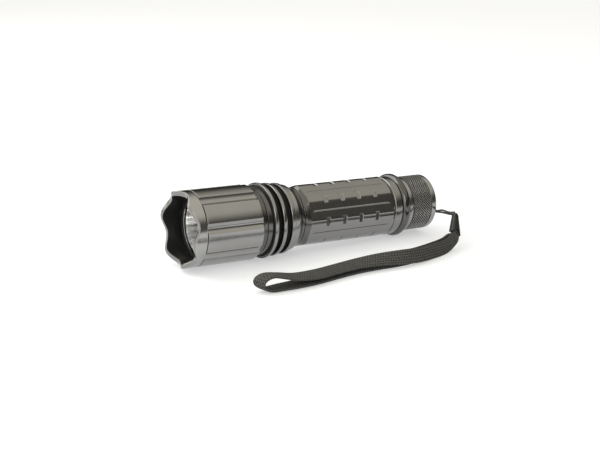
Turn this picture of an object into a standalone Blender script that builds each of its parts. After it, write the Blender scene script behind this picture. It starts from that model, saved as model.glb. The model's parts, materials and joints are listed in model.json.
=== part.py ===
"""Tactical flashlight lying on its side, as an assembly of separate pieces.

The light's own axis runs from the bezel (front, towards -X) to the tail cap (towards +X).
Stations along that axis are measured in metres from the tips of the bezel's crown, and an
angle round it is counted from the top towards -Y, the side of the wrist strap.
"""
from math import atan, cos, degrees, pi, radians, sin, sqrt

import bmesh
import bpy
from mathutils import Vector

# Clearances
CLEAR = 0.0003
SEAM = 0.0004
SIDES = 48
HIDDEN_SIDES = 24
SCREW_SIDES = 12

# Bezel ring with its scalloped crown
BEZEL_RADIUS = 0.0190
BEZEL_LENGTH = 0.0070
BEZEL_WALL = 0.0024
BEZEL_SIDES = 72
RIM_CHAMFER = 0.0004
CROWN_LOBES = 6
CROWN_CLOCK = radians(-17.6)
SCALLOP_DEPTH = 0.0029
SKIRT_WALL = 0.0008
LIP_OVERLAP = 0.0006
LIP_SETBACK = 0.0010
LIP_THICKNESS = 0.0016

# Lens, its gasket and the reflector
LENS_THICKNESS = 0.0020
GASKET_WIDTH = 0.0010
GASKET_THICKNESS = 0.0010
REFLECTOR_RIM = 0.0010
REFLECTOR_THROAT = 0.0034
REFLECTOR_WALL = 0.0009
REFLECTOR_FLANGE = 0.0014

# Head shell with its flutes
HEAD_WALL = 0.0022
PANEL_LENGTH = 0.0315
HEAD_NECK_LENGTH = 0.0023
NECK_STEP = 0.0018
FLUTES = 8
FLUTE_CLOCK = radians(78.7)
FLUTE_DEPTH = 0.0014
FLUTE_EDGE_ANGLE = radians(7.9)
FLUTE_STEPS = 6
PANEL_STEPS = 4

# Heat sink: neck, fins, collar and cone; the steps are how far each lies inside the head's radius
SINK_NECK_LENGTH = 0.0029
FIN_STEPS = (-0.0001, 0.0005, 0.0010)
FIN_PITCH = 0.0052
FIN_WIDTH = 0.0023
FIN_DEPTH = 0.0028
COLLAR_STEP = 0.0021
COLLAR_LENGTH = 0.0030
CONE_LENGTH = 0.0026
WAIST_STEP = 0.00035
WAIST_LENGTH = 0.0012
SPIGOT_LENGTH = 0.0050
SPIGOT_WALL = 0.0012

# Light module: brass pill, boards, emitter
PILL_RADIUS = 0.0115
PILL_LENGTH = 0.0125
PILL_PLATE = 0.0030
PILL_WALL = 0.0010
LED_BOARD_RADIUS = 0.0090
LED_BOARD_THICKNESS = 0.0016
LED_SIZE = 0.0035
LED_THICKNESS = 0.0007
LED_DOME_RADIUS = 0.0016
CENTRING_RADIUS = 0.0050
CENTRING_THICKNESS = 0.0015
DRIVER_THICKNESS = 0.0015
DRIVER_RING_THICKNESS = 0.0012
DRIVER_RING_WIDTH = 0.0017
SCREW_CIRCLE = 0.0070
SCREW_HEAD_RADIUS = 0.0016
SCREW_HEAD_HEIGHT = 0.0012
SCREW_CROWN_SHARE = 0.7
SCREW_SHANK_RADIUS = 0.0009
SCREW_SHANK_LENGTH = 0.0038
WIRE_CIRCLE = 0.0066
WIRE_RADIUS = 0.0005
WIRE_LIFT = 0.0008

# Barrel: octagonal tube with a threaded nose at each end; its corners are trimmed to narrow, notched flats
BARREL_FLATS = 0.0303
CORNERS = 8
CORNER_CLOCK = radians(2.0)
CORNER_TRIM = 0.0005
RAMP_LENGTH = 0.0020
NOTCHES_PER_CORNER = 4
NOTCH_PITCH = 0.0100
NOTCH_WIDTH = 0.0024
NOTCH_DEPTH = 0.0005
NOTCH_RAMP = 0.0003
END_RING_RISE = 0.00015
END_RING_LENGTH = 0.0044
FRONT_NOSE_WALL = 0.0025
FRONT_NOSE_LENGTH = 0.0114
REAR_NOSE_WALL = 0.0022
REAR_NOSE_LENGTH = 0.0061
ORING_WIRE = 0.0005
ORING_SETBACK = 0.0022

# Power: one cell in a spacer sleeve between two contact springs
CELL_RADIUS = 0.0091
CELL_LENGTH = 0.0650
CELL_TIP_RADIUS = 0.0032
CELL_TIP_LENGTH = 0.0011
CELL_ROOM = 0.0008
SLEEVE_WALL = 0.0005
FRONT_SPRING_LENGTH = 0.0082
FRONT_SPRING_RADIUS = 0.0036
FRONT_SPRING_TURNS = 5
TAIL_SPRING_RADIUS = 0.0062
TAIL_SPRING_TURNS = 5
SPRING_WIRE = 0.0008

# Tail cap with its flange, switch module and button
CAP_LENGTH = 0.0226
FLANGE_RADIUS = 0.0165
FLANGE_LENGTH = 0.0046
# The flange's rounding: shares of its length and of its rise
FLANGE_FORM = ((0.0, 0.4), (0.14, 0.8), (0.33, 1.0), (0.65, 1.0), (0.86, 0.7))
CAP_RADIUS = 0.0144
CAP_GROOVE_DEPTH = 0.0004
CAP_BAND_LENGTH = 0.0022
CAP_END_LENGTH = 0.0034
CAP_END_ROUND = 0.0007
SWITCH_CAVITY = 0.0116
RETAINER_THICKNESS = 0.0015
RETAINER_WIDTH = 0.0018
SWITCH_BOARD_THICKNESS = 0.0014
HOUSING_LENGTH = 0.0059
HOUSING_WELL_DEPTH = 0.0023
SEAL_THICKNESS = 0.0011
REAR_WALL = 0.0016
RECESS_RADIUS = 0.0104
BUTTON_RADIUS = 0.0072
BUTTON_SETBACK = 0.0007
BUTTON_CROWN = 0.0016
BUTTON_TOP_SHARE = 0.45
PLUNGER_RADIUS = 0.0037
RETURN_SPRING_RADIUS = 0.0056
RETURN_SPRING_TURNS = 1.6
RETURN_SPRING_WIRE = 0.0004
PLUNGER_FRONT_GAP = 0.0022

# Wrist lanyard: tunnel in the cap's rear rim, string, crimp and strap
TUNNEL_CLOCK = radians(102.0)
TUNNEL_RADIUS = 0.00095
TUNNEL_SHARE = 0.6
STRING_RADIUS = 0.0005
STRING_SPREAD = 0.0009
STRING_LIFT = 0.0006
STRING_STEPS = 3
# The string's free points between crimp and cap, on the way out and back
STRING_OUT = (Vector((0.0737, -0.0246, 0.0148)), Vector((0.0752, -0.0167, 0.0140)))
STRING_BACK = (Vector((0.0759, -0.0166, 0.0126)), Vector((0.0746, -0.0250, 0.0137)))
# Its points round the cap's rear rim: way behind the rim, rise from its radius, turn about the axis
LOOP_POINTS = (
    (0.0013, 0.0010, 0.0),
    (-0.0019, -0.0017, 0.0),
    (0.0003, 0.0016, 0.10),
    (0.0022, 0.0006, 0.15),
)
CRIMP_TOP = Vector((0.0743, -0.0288, 0.0145))
CRIMP_MOUTH = Vector((0.0683, -0.0364, 0.0065))
CRIMP_ACROSS = Vector((0.814, -0.026, -0.580))
CRIMP_MOUTH_WIDTH = 0.0066
CRIMP_TOP_WIDTH = 0.0030
CRIMP_WALL = 0.0005
CRIMP_TOP_DEPTH = 0.0027
CRIMP_POCKET = 0.0030
CRIMP_NOTCH = 0.0026
STRAP_WIDTH = 0.0076
STRAP_THICKNESS = 0.0014
STRAP_PLY_GAP = 0.0015
STRAP_GATHERED_THICKNESS = 0.0008
STRAP_GATHERED_GAP = 0.0005
STRAP_FLOOR_GAP = 0.0001
STRAP_STEPS = 4
HAIRPIN_BULGE = 1.7
STRAP_LIFTED_SHARE = 0.88
# Where the strap hangs between crimp and floor, and the direction across it there
STRAP_LIFTED = Vector((0.0640, -0.0401, 0.0058))
STRAP_LIFTED_ACROSS = Vector((0.50, -0.08, -0.86))
# The strap's run along the floor: x, y, roll in degrees from on edge to flat, slant of its width in degrees
# about the vertical, spread added to the plies
STRAP_RUN = (
    (0.0560, -0.0436, 0.0, 0.0, 0.0), (0.0440, -0.0482, 6.0, 0.0, 0.0),
    (0.0330, -0.0511, 16.0, 0.0, 0.0), (0.0230, -0.0515, 33.0, 0.0, 0.0),
    (0.0110, -0.0497, 54.0, 0.0, 0.0), (-0.0010, -0.0489, 68.0, 0.0, 0.0),
    (-0.0135, -0.0504, 72.0, 0.0, 0.0), (-0.0265, -0.0528, 71.0, 0.0, 0.0),
    (-0.0380, -0.0532, 78.5, 0.0, 0.0005), (-0.0460, -0.0527, 82.5, 7.0, 0.0014),
    (-0.0515, -0.0522, 86.0, 16.0, 0.0020),
)

# Stations along the light's axis, front to rear
S_SHOULDER = BEZEL_LENGTH
S_LIP = S_SHOULDER + LIP_SETBACK
S_POCKET = S_LIP + LIP_THICKNESS
S_GASKET = S_POCKET + CLEAR
S_LENS = S_GASKET + GASKET_THICKNESS + CLEAR
S_LENS_REAR = S_LENS + LENS_THICKNESS
S_REFLECTOR = S_LENS_REAR + CLEAR
S_REFLECTOR_SEAT = S_REFLECTOR + REFLECTOR_FLANGE + CLEAR
S_HEAD = S_SHOULDER + SEAM
S_PANEL_END = S_HEAD + PANEL_LENGTH
S_HEAD_END = S_PANEL_END + HEAD_NECK_LENGTH
S_SINK = S_HEAD_END + CLEAR
S_SPIGOT = S_SINK - SPIGOT_LENGTH
S_FINS = [S_SINK + SINK_NECK_LENGTH + index * FIN_PITCH for index in range(len(FIN_STEPS))]
S_COLLAR = S_FINS[-1] + FIN_WIDTH
S_CONE = S_COLLAR + COLLAR_LENGTH
S_WAIST = S_CONE + CONE_LENGTH
S_SINK_END = S_WAIST + WAIST_LENGTH
S_PILL = S_SPIGOT + CLEAR
S_PILL_END = S_PILL + PILL_LENGTH
S_LED_BOARD = S_PILL - CLEAR - LED_BOARD_THICKNESS
S_LED = S_LED_BOARD - CLEAR - LED_THICKNESS
S_CENTRING = S_LED_BOARD - CLEAR - CENTRING_THICKNESS
S_REFLECTOR_END = S_CENTRING - CLEAR
S_DRIVER_RING = S_PILL_END - DRIVER_RING_THICKNESS
S_DRIVER = S_DRIVER_RING - CLEAR - DRIVER_THICKNESS
S_FRONT_SPRING = S_DRIVER_RING
S_CELL_TIP = S_FRONT_SPRING + FRONT_SPRING_LENGTH + CLEAR
S_CELL = S_CELL_TIP + CELL_TIP_LENGTH + CLEAR
S_CELL_END = S_CELL + CELL_LENGTH
S_BARREL = S_SINK_END + CLEAR
S_BARREL_END = S_CELL_END + CELL_ROOM
S_NOSE = S_BARREL - FRONT_NOSE_LENGTH
S_REAR_NOSE_END = S_BARREL_END + REAR_NOSE_LENGTH
S_CAP = S_BARREL_END + SEAM
S_TAIL = S_CAP + CAP_LENGTH
S_CAVITY = S_REAR_NOSE_END + CLEAR
S_RETAINER = S_CAVITY + CLEAR
S_SWITCH_BOARD = S_RETAINER + RETAINER_THICKNESS + CLEAR
S_HOUSING = S_SWITCH_BOARD + SWITCH_BOARD_THICKNESS + CLEAR
S_HOUSING_END = S_HOUSING + HOUSING_LENGTH
S_SEAL = S_HOUSING_END + CLEAR
S_CAVITY_END = S_SEAL + SEAL_THICKNESS + CLEAR
S_RECESS = S_CAVITY_END + REAR_WALL
S_WELL = S_HOUSING_END - HOUSING_WELL_DEPTH

# Radii that follow from a neighbour
BEZEL_BORE = BEZEL_RADIUS - BEZEL_WALL
HEAD_BORE = BEZEL_RADIUS - HEAD_WALL
SKIRT_RADIUS = HEAD_BORE - CLEAR
SKIRT_BORE = SKIRT_RADIUS - SKIRT_WALL
LENS_RADIUS = SKIRT_BORE - CLEAR
LIP_BORE = LENS_RADIUS - LIP_OVERLAP
REFLECTOR_RADIUS = LENS_RADIUS
REFLECTOR_POCKET = REFLECTOR_RADIUS + CLEAR
REFLECTOR_MOUTH = REFLECTOR_RADIUS - REFLECTOR_RIM
NECK_RADIUS = BEZEL_RADIUS - NECK_STEP
FIN_RADII = [BEZEL_RADIUS - step for step in FIN_STEPS]
FIN_ROOT = FIN_RADII[0] - FIN_DEPTH
COLLAR_RADIUS = BEZEL_RADIUS - COLLAR_STEP
WAIST_RADIUS = BARREL_FLATS / 2 - WAIST_STEP
END_RING_RADIUS = BARREL_FLATS / 2 + END_RING_RISE
CAVITY_RADIUS = REFLECTOR_MOUTH + REFLECTOR_WALL
PILL_BORE = PILL_RADIUS + CLEAR
SPIGOT_RADIUS = PILL_BORE + SPIGOT_WALL
SPIGOT_BORE = SPIGOT_RADIUS + CLEAR
DRIVER_RADIUS = PILL_RADIUS - PILL_WALL - CLEAR
SLEEVE_RADIUS = CELL_RADIUS + CLEAR + SLEEVE_WALL
BARREL_BORE = SLEEVE_RADIUS + CLEAR
FRONT_NOSE_RADIUS = BARREL_BORE + FRONT_NOSE_WALL
REAR_NOSE_RADIUS = BARREL_BORE + REAR_NOSE_WALL
FRONT_THREAD_BORE = FRONT_NOSE_RADIUS + CLEAR
REAR_THREAD_BORE = REAR_NOSE_RADIUS + CLEAR
SWITCH_RADIUS = SWITCH_CAVITY - CLEAR
CORNER_FLAT = BARREL_FLATS / 2 / cos(pi / CORNERS) - CORNER_TRIM
NOTCH_FLOOR = CORNER_FLAT - NOTCH_DEPTH
BUTTON_HOLE = BUTTON_RADIUS + CLEAR
SPRING_SEAT = CLEAR + SPRING_WIRE / 2

# The light rests on its first fin and on the tail flange, so its axis dips towards the tail
REST_FRONT = S_FINS[0] + FIN_WIDTH
REST_REAR = S_CAP + FLANGE_LENGTH * FLANGE_FORM[3][0]
FLAT_FACTOR = cos(pi / SIDES)
DIP = atan((FIN_RADII[0] - FLANGE_RADIUS) * FLAT_FACTOR / (REST_REAR - REST_FRONT))
REAR_EDGE_RADIUS = CAP_RADIUS - CAP_END_ROUND
AXIS_HEIGHT = REST_FRONT * sin(DIP) + FIN_RADII[0] * FLAT_FACTOR * cos(DIP)
AXIS_START = (BEZEL_RADIUS * sin(DIP) - S_TAIL * cos(DIP) - REAR_EDGE_RADIUS * sin(DIP)) / 2


def clear_scene():
    for item in list(bpy.data.objects):
        bpy.data.objects.remove(item, do_unlink=True)


def finish(name, colour, roughness, metallic):
    """A material with one colour, roughness and metallic value."""
    material = bpy.data.materials.new(name + "_finish")
    material.use_nodes = True
    shader = material.node_tree.nodes["Principled BSDF"]
    shader.inputs["Base Color"].default_value = (*colour, 1.0)
    shader.inputs["Roughness"].default_value = roughness
    shader.inputs["Metallic"].default_value = metallic
    return material


BLACK_ANODISED = ((0.035, 0.036, 0.040), 0.32, 0.9)
BRASS = ((0.72, 0.52, 0.20), 0.35, 1.0)
STEEL = ((0.62, 0.62, 0.60), 0.30, 1.0)
MIRROR = ((0.90, 0.90, 0.90), 0.06, 1.0)
GLASS = ((0.95, 0.97, 0.97), 0.02, 0.0)
RUBBER = ((0.020, 0.020, 0.021), 0.70, 0.0)
PLASTIC = ((0.85, 0.85, 0.82), 0.45, 0.0)
BOARD = ((0.05, 0.22, 0.10), 0.50, 0.0)
CERAMIC = ((0.90, 0.88, 0.82), 0.40, 0.0)
SILICONE = ((0.95, 0.80, 0.25), 0.15, 0.0)
WRAP = ((0.10, 0.22, 0.55), 0.40, 0.0)
WEBBING = ((0.045, 0.046, 0.048), 0.85, 0.0)


def add_object(name, mesh, look, parent, location=(0.0, 0.0, 0.0)):
    """Link a mesh as a named object with its own material, shaded smooth between sharp edges."""
    mesh.shade_smooth()
    mesh.set_sharp_from_angle(angle=radians(28.0))
    mesh.materials.append(finish(name, *look))
    item = bpy.data.objects.new(name, mesh)
    item.parent = parent
    item.location = location
    bpy.context.collection.objects.link(item)
    return item


def mesh_from(name, points, faces):
    """A closed mesh from points and faces, with its faces turned outwards."""
    mesh = bpy.data.meshes.new(name)
    mesh.from_pydata(points, [], faces)
    work = bmesh.new()
    work.from_mesh(mesh)
    bmesh.ops.recalc_face_normals(work, faces=work.faces)
    work.to_mesh(mesh)
    work.free()
    return mesh


def even_angles(sides, offset=0.5):
    """Angles of a regular polygon; with the half step a flat side lies underneath."""
    return [2 * pi * (index + offset) / sides for index in range(sides)]


def round_the_axis(station, radius, angle):
    return (station, -radius * sin(angle), radius * cos(angle))


def turned(name, profile, look, parent, angles=None, shape=None):
    """A solid turned round the X axis from a closed profile of (station, radius) points.

    shape, where given, moves a profile point according to its angle.
    """
    angles = angles or even_angles(SIDES)
    points = []
    rings = []
    for station, radius in profile:
        if radius == 0:
            rings.append([len(points)] * len(angles))
            points.append((station, 0.0, 0.0))
            continue
        ring = []
        for angle in angles:
            place = shape(station, radius, angle) if shape else (station, radius)
            ring.append(len(points))
            points.append(round_the_axis(*place, angle))
        rings.append(ring)
    faces = []
    for first, second in zip(rings, rings[1:] + rings[:1]):
        for index in range(len(angles)):
            after = (index + 1) % len(angles)
            corners = [first[index], first[after], second[after], second[index]]
            face = list(dict.fromkeys(corners))
            if len(face) > 2:
                faces.append(face)
    return add_object(name, mesh_from(name, points, faces), look, parent)


def disc(name, front, thickness, radius, look, parent, sides=HIDDEN_SIDES):
    rear = front + thickness
    profile = [(front, 0), (front, radius), (rear, radius), (rear, 0)]
    return turned(name, profile, look, parent, even_angles(sides))


def washer(name, front, thickness, bore, radius, look, parent, sides=HIDDEN_SIDES):
    rear = front + thickness
    profile = [(front, bore), (front, radius), (rear, radius), (rear, bore)]
    return turned(name, profile, look, parent, even_angles(sides))


def o_ring(name, station, radius, look, parent):
    """A ring of round section."""
    section = [2 * pi * step / 6 for step in range(6)]
    profile = [(station + ORING_WIRE * cos(turn), radius + ORING_WIRE * sin(turn)) for turn in section]
    return turned(name, profile, look, parent, even_angles(HIDDEN_SIDES))


def tube_mesh(name, path, radius, sides=8):
    """A closed tube of round section along a list of points, its frame carried along without twist."""
    points = []
    faces = []
    across = None
    for index, point in enumerate(path):
        before = path[max(index - 1, 0)]
        after = path[min(index + 1, len(path) - 1)]
        along = (after - before).normalized()
        if across is None:
            across = along.orthogonal().normalized()
        across = (across - along * across.dot(along)).normalized()
        side = along.cross(across)
        for step in range(sides):
            turn = 2 * pi * step / sides
            points.append(point + radius * (cos(turn) * across + sin(turn) * side))
    for index in range(len(path) - 1):
        for step in range(sides):
            after = (step + 1) % sides
            low = index * sides
            high = low + sides
            faces.append([low + step, low + after, high + after, high + step])
    faces.append(list(range(sides)))
    faces.append([len(points) - 1 - step for step in range(sides)])
    return mesh_from(name, points, faces)


def path_length(path):
    return sum((second - first).length for first, second in zip(path, path[1:]))


def least_gap(path, radius):
    """Smallest clear distance between parts of a tube that lie more than ten radii apart along it."""
    reach = [path_length(path[:index + 1]) for index in range(len(path))]
    gaps = [(path[j] - path[i]).length for i in range(len(path)) for j in range(i, len(path))
            if reach[j] - reach[i] > 10 * radius]
    return min(gaps) - 2 * radius


def coil(name, front, rear, radius, wire, turns, look, parent):
    """A helical spring between two stations, with about ten points a turn."""
    per_turn = 10
    count = int(turns * per_turn)
    path = []
    for step in range(count + 1):
        share = step / count
        station = front + wire / 2 + (rear - front - wire) * share
        path.append(Vector(round_the_axis(station, radius, 2 * pi * turns * share)))
    print(name, "least gap to itself, mm:", round(1000 * least_gap(path, wire / 2), 2))
    return add_object(name, tube_mesh(name, path, wire / 2, sides=6), look, parent)


def smooth_path(points, steps):
    """Points on a Catmull-Rom curve that passes through every given point."""
    path = []
    for index in range(len(points) - 1):
        before = points[max(index - 1, 0)]
        first = points[index]
        second = points[index + 1]
        after = points[min(index + 2, len(points) - 1)]
        for step in range(steps):
            t = step / steps
            path.append(0.5 * (2 * first + (second - before) * t
                               + (2 * before - 5 * first + 4 * second - after) * t ** 2
                               + (3 * first - before - 3 * second + after) * t ** 3))
    path.append(points[-1])
    return path


def cut_round_hole(target, start, end, radius):
    """Cut a round hole with a cylinder between two points of the axis frame."""
    along = end - start
    mesh = bpy.data.meshes.new(target.name + "_cutter")
    work = bmesh.new()
    bmesh.ops.create_cone(work, cap_ends=True, segments=12, radius1=radius, radius2=radius,
                          depth=along.length)
    work.to_mesh(mesh)
    work.free()
    cutter = bpy.data.objects.new(target.name + "_cutter", mesh)
    cutter.parent = target.parent
    cutter.location = (start + end) / 2
    cutter.rotation_euler = along.to_track_quat("Z", "Y").to_euler()
    cutter.hide_render = True
    cutter.display_type = "WIRE"
    bpy.context.collection.objects.link(cutter)
    hole = target.modifiers.new("hole", "BOOLEAN")
    hole.operation = "DIFFERENCE"
    hole.object = cutter


def crown(station, radius, angle):
    """Set the bezel's front edge back between its lobes in an even wave."""
    if station > RIM_CHAMFER:
        return station, radius
    step = 2 * pi / CROWN_LOBES
    from_valley = (angle - CROWN_CLOCK) % step - step / 2
    return station + SCALLOP_DEPTH * (1 + cos(CROWN_LOBES * from_valley)) / 2, radius


def build_bezel(axis):
    profile = [
        (0, BEZEL_RADIUS - RIM_CHAMFER), (RIM_CHAMFER, BEZEL_RADIUS), (S_SHOULDER, BEZEL_RADIUS),
        (S_SHOULDER, SKIRT_RADIUS), (S_LENS_REAR, SKIRT_RADIUS), (S_LENS_REAR, SKIRT_BORE),
        (S_POCKET, SKIRT_BORE), (S_POCKET, LIP_BORE), (S_LIP, LIP_BORE),
        (RIM_CHAMFER, BEZEL_BORE), (0, BEZEL_BORE + RIM_CHAMFER),
    ]
    turned("bezel_ring", profile, BLACK_ANODISED, axis, even_angles(BEZEL_SIDES), crown)
    washer("lens_gasket", S_GASKET, GASKET_THICKNESS, LENS_RADIUS - GASKET_WIDTH, LENS_RADIUS, RUBBER, axis)


def build_lens_and_reflector(axis):
    disc("lens", S_LENS, LENS_THICKNESS, LENS_RADIUS, GLASS, axis, SIDES)
    length = S_REFLECTOR_END - S_REFLECTOR
    focal = (REFLECTOR_MOUTH ** 2 - REFLECTOR_THROAT ** 2) / (4 * length)
    vertex = S_REFLECTOR_END + REFLECTOR_THROAT ** 2 / (4 * focal)
    bowl = [S_REFLECTOR + length * step / 6 for step in range(7)]
    radii = [sqrt(4 * focal * (vertex - station)) for station in bowl]
    flange_end = S_REFLECTOR + REFLECTOR_FLANGE
    outside = [(station, radius + REFLECTOR_WALL) for station, radius in zip(bowl, radii)
               if station > flange_end]
    start = sqrt(4 * focal * (vertex - flange_end)) + REFLECTOR_WALL
    profile = [(S_REFLECTOR, REFLECTOR_RADIUS), (flange_end, REFLECTOR_RADIUS), (flange_end, start)]
    profile += outside + list(reversed(list(zip(bowl, radii))))
    turned("reflector", profile, MIRROR, axis)


def flute_angles():
    """Even steps across each flute, and even steps over each panel between two flutes."""
    angles = []
    pitch = 2 * pi / FLUTES
    panel = pitch - 2 * FLUTE_EDGE_ANGLE
    for flute in range(FLUTES):
        edge = FLUTE_CLOCK + flute * pitch - FLUTE_EDGE_ANGLE
        angles += [edge + 2 * FLUTE_EDGE_ANGLE * step / FLUTE_STEPS for step in range(1, FLUTE_STEPS)]
        edge += 2 * FLUTE_EDGE_ANGLE
        angles += [edge + panel * step / PANEL_STEPS for step in range(PANEL_STEPS + 1)]
    return angles


def flutes(station, radius, angle):
    """A rounded groove, deepest in its middle and coming out at its two edges."""
    pitch = 2 * pi / FLUTES
    from_middle = (angle - FLUTE_CLOCK + pitch / 2) % pitch - pitch / 2
    depth = FLUTE_DEPTH * max(0.0, 1 - (from_middle / FLUTE_EDGE_ANGLE) ** 2)
    return station, min(radius, BEZEL_RADIUS - depth)


def build_head_shell(axis):
    chamfer = BEZEL_RADIUS - NECK_RADIUS
    skirt_end = S_LENS_REAR + CLEAR
    profile = [
        (S_HEAD, BEZEL_RADIUS), (S_PANEL_END - chamfer / 2, BEZEL_RADIUS), (S_PANEL_END, NECK_RADIUS),
        (S_HEAD_END, NECK_RADIUS), (S_HEAD_END, SPIGOT_BORE), (S_SPIGOT - CLEAR, SPIGOT_BORE),
        (S_SPIGOT - CLEAR, CAVITY_RADIUS), (S_REFLECTOR_SEAT, CAVITY_RADIUS),
        (S_REFLECTOR_SEAT, REFLECTOR_POCKET), (skirt_end, REFLECTOR_POCKET), (skirt_end, HEAD_BORE),
        (S_HEAD, HEAD_BORE),
    ]
    turned("head_shell", profile, BLACK_ANODISED, axis, flute_angles(), flutes)


def build_heat_sink(axis):
    profile = [(S_SPIGOT, PILL_BORE), (S_SPIGOT, SPIGOT_RADIUS)]
    profile += [(S_SINK, SPIGOT_RADIUS), (S_SINK, NECK_RADIUS)]
    root = NECK_RADIUS
    for station, radius in zip(S_FINS, FIN_RADII):
        profile += [(station - CLEAR, root), (station, radius), (station + FIN_WIDTH, radius)]
        root = FIN_ROOT
        profile += [(station + FIN_WIDTH + CLEAR, root)]
    profile[-1] = (S_COLLAR + CLEAR, COLLAR_RADIUS)
    thread_start = S_NOSE - SEAM
    stop = FRONT_NOSE_RADIUS - 2 * SPIGOT_WALL
    profile += [
        (S_CONE, COLLAR_RADIUS), (S_WAIST, WAIST_RADIUS), (S_SINK_END, WAIST_RADIUS),
        (S_SINK_END, FRONT_THREAD_BORE), (thread_start, FRONT_THREAD_BORE), (thread_start, stop),
        (S_PILL_END + CLEAR, stop), (S_PILL_END + CLEAR, PILL_BORE),
    ]
    turned("heat_sink", profile, BLACK_ANODISED, axis)


def build_light_module(axis):
    plate = S_PILL + PILL_PLATE
    well = PILL_RADIUS - PILL_WALL
    pill = turned("pill", [(S_PILL, 0), (S_PILL, PILL_RADIUS), (S_PILL_END, PILL_RADIUS),
                           (S_PILL_END, well), (plate, well), (plate, 0)], BRASS, axis,
                  even_angles(HIDDEN_SIDES))
    board = disc("led_board", S_LED_BOARD, LED_BOARD_THICKNESS, LED_BOARD_RADIUS, CERAMIC, axis)
    half = LED_SIZE / 2
    corners = [(half, half), (-half, half), (-half, -half), (half, -half)]
    points = [(S_LED + depth, y, z) for depth in (0, LED_THICKNESS) for y, z in corners]
    faces = [[0, 1, 2, 3], [4, 5, 6, 7]] + [[i, (i + 1) % 4, (i + 1) % 4 + 4, i + 4] for i in range(4)]
    add_object("led_emitter", mesh_from("led_emitter", points, faces), CERAMIC, axis)
    base = S_LED - CLEAR
    arc = [pi / 2 * step / 4 for step in range(5)]
    dome = [(base - LED_DOME_RADIUS * sin(turn), LED_DOME_RADIUS * cos(turn)) for turn in arc[:-1]]
    dome = [(base, 0)] + dome + [(base - LED_DOME_RADIUS, 0)]
    turned("led_dome", dome, SILICONE, axis, even_angles(SCREW_SIDES))
    washer("centring_ring", S_CENTRING, CENTRING_THICKNESS, half * sqrt(2) + CLEAR, CENTRING_RADIUS,
           PLASTIC, axis)
    disc("driver_board", S_DRIVER, DRIVER_THICKNESS, DRIVER_RADIUS, BOARD, axis)
    washer("driver_ring", S_DRIVER_RING, DRIVER_RING_THICKNESS, DRIVER_RADIUS - DRIVER_RING_WIDTH,
           DRIVER_RADIUS, BRASS, axis)
    for number, side in enumerate((1, -1), start=1):
        screw_at = Vector((0, 0, side * SCREW_CIRCLE))
        wire_at = Vector((0, side * WIRE_CIRCLE, 0))
        build_screw("led_screw_%d" % number, screw_at, axis)
        build_lead("led_lead_%d" % number, wire_at, axis)
        front = Vector((S_LED_BOARD - LED_BOARD_THICKNESS, 0, 0))
        depth = Vector((S_LED_BOARD + SCREW_SHANK_LENGTH + CLEAR, 0, 0))
        through = Vector((plate + PILL_WALL, 0, 0))
        for target in (pill, board):
            cut_round_hole(target, screw_at + front, screw_at + depth, SCREW_SHANK_RADIUS + CLEAR)
            cut_round_hole(target, wire_at + front, wire_at + through, WIRE_RADIUS + CLEAR)


def build_screw(name, place, axis):
    """A pan head screw whose head bears on the front of the LED board."""
    seat = S_LED_BOARD - CLEAR
    front = seat - SCREW_HEAD_HEIGHT
    crown_radius = SCREW_HEAD_RADIUS * SCREW_CROWN_SHARE
    tip = S_LED_BOARD + SCREW_SHANK_LENGTH
    profile = [(front, 0), (front, crown_radius), (front + SCREW_HEAD_HEIGHT / 2, SCREW_HEAD_RADIUS),
               (seat, SCREW_HEAD_RADIUS), (seat, SCREW_SHANK_RADIUS), (tip, SCREW_SHANK_RADIUS), (tip, 0)]
    screw = turned(name, profile, STEEL, axis, even_angles(SCREW_SIDES))
    screw.location = place


def build_lead(name, place, axis):
    """A lead from the driver board, through the pill and the LED board, bent over at its front end."""
    bend = place.normalized() * WIRE_LIFT
    route = [Vector((S_DRIVER - CLEAR, 0, 0)) + place, Vector((S_PILL + PILL_PLATE, 0, 0)) + place,
             Vector((S_PILL, 0, 0)) + place, Vector((S_LED_BOARD - CLEAR, 0, 0)) + place,
             Vector((S_LED_BOARD - CLEAR - WIRE_LIFT, 0, 0)) + place + bend / 2]
    add_object(name, tube_mesh(name, smooth_path(route, 3), WIRE_RADIUS, sides=6), RUBBER, axis)


def edge_from_corner(apothem):
    """Angle from a corner's middle at which a flat across it, at that apothem, meets the octagon's side."""
    step = pi / CORNERS
    return atan((BARREL_FLATS / 2 / apothem - cos(step)) / sin(step))


def octagon_angles():
    """Angles at the edges of the corner flats and of their notches, and at the middle of each side."""
    edges = [edge_from_corner(CORNER_FLAT), edge_from_corner(NOTCH_FLOOR)]
    steps = [0.0] + edges + [pi / CORNERS] + [2 * pi / CORNERS - edge for edge in reversed(edges)]
    return [CORNER_CLOCK + 2 * pi * corner / CORNERS + step for corner in range(CORNERS) for step in steps]


def octagon(station, radius, angle):
    """Limit a body point to the octagon's sides and corner flats, and a notch point to the notch's floor."""
    if not S_BARREL + WAIST_LENGTH < station < S_BARREL_END - END_RING_LENGTH:
        return station, radius
    sector = 2 * pi / CORNERS
    from_corner = (angle - CORNER_CLOCK + sector / 2) % sector - sector / 2
    side = BARREL_FLATS / 2 / cos(sector / 2 - abs(from_corner))
    flat = NOTCH_FLOOR if radius == NOTCH_FLOOR else CORNER_FLAT
    return station, min(side, flat / cos(from_corner))


def groove_for_o_ring(station, nose_radius):
    """Profile points, front to rear, of the groove that an O-ring lies in."""
    half = ORING_WIRE + CLEAR
    floor = nose_radius - 2 * ORING_WIRE - CLEAR
    return [(station - half, nose_radius), (station - half, floor), (station + half, floor),
            (station + half, nose_radius)]


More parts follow.
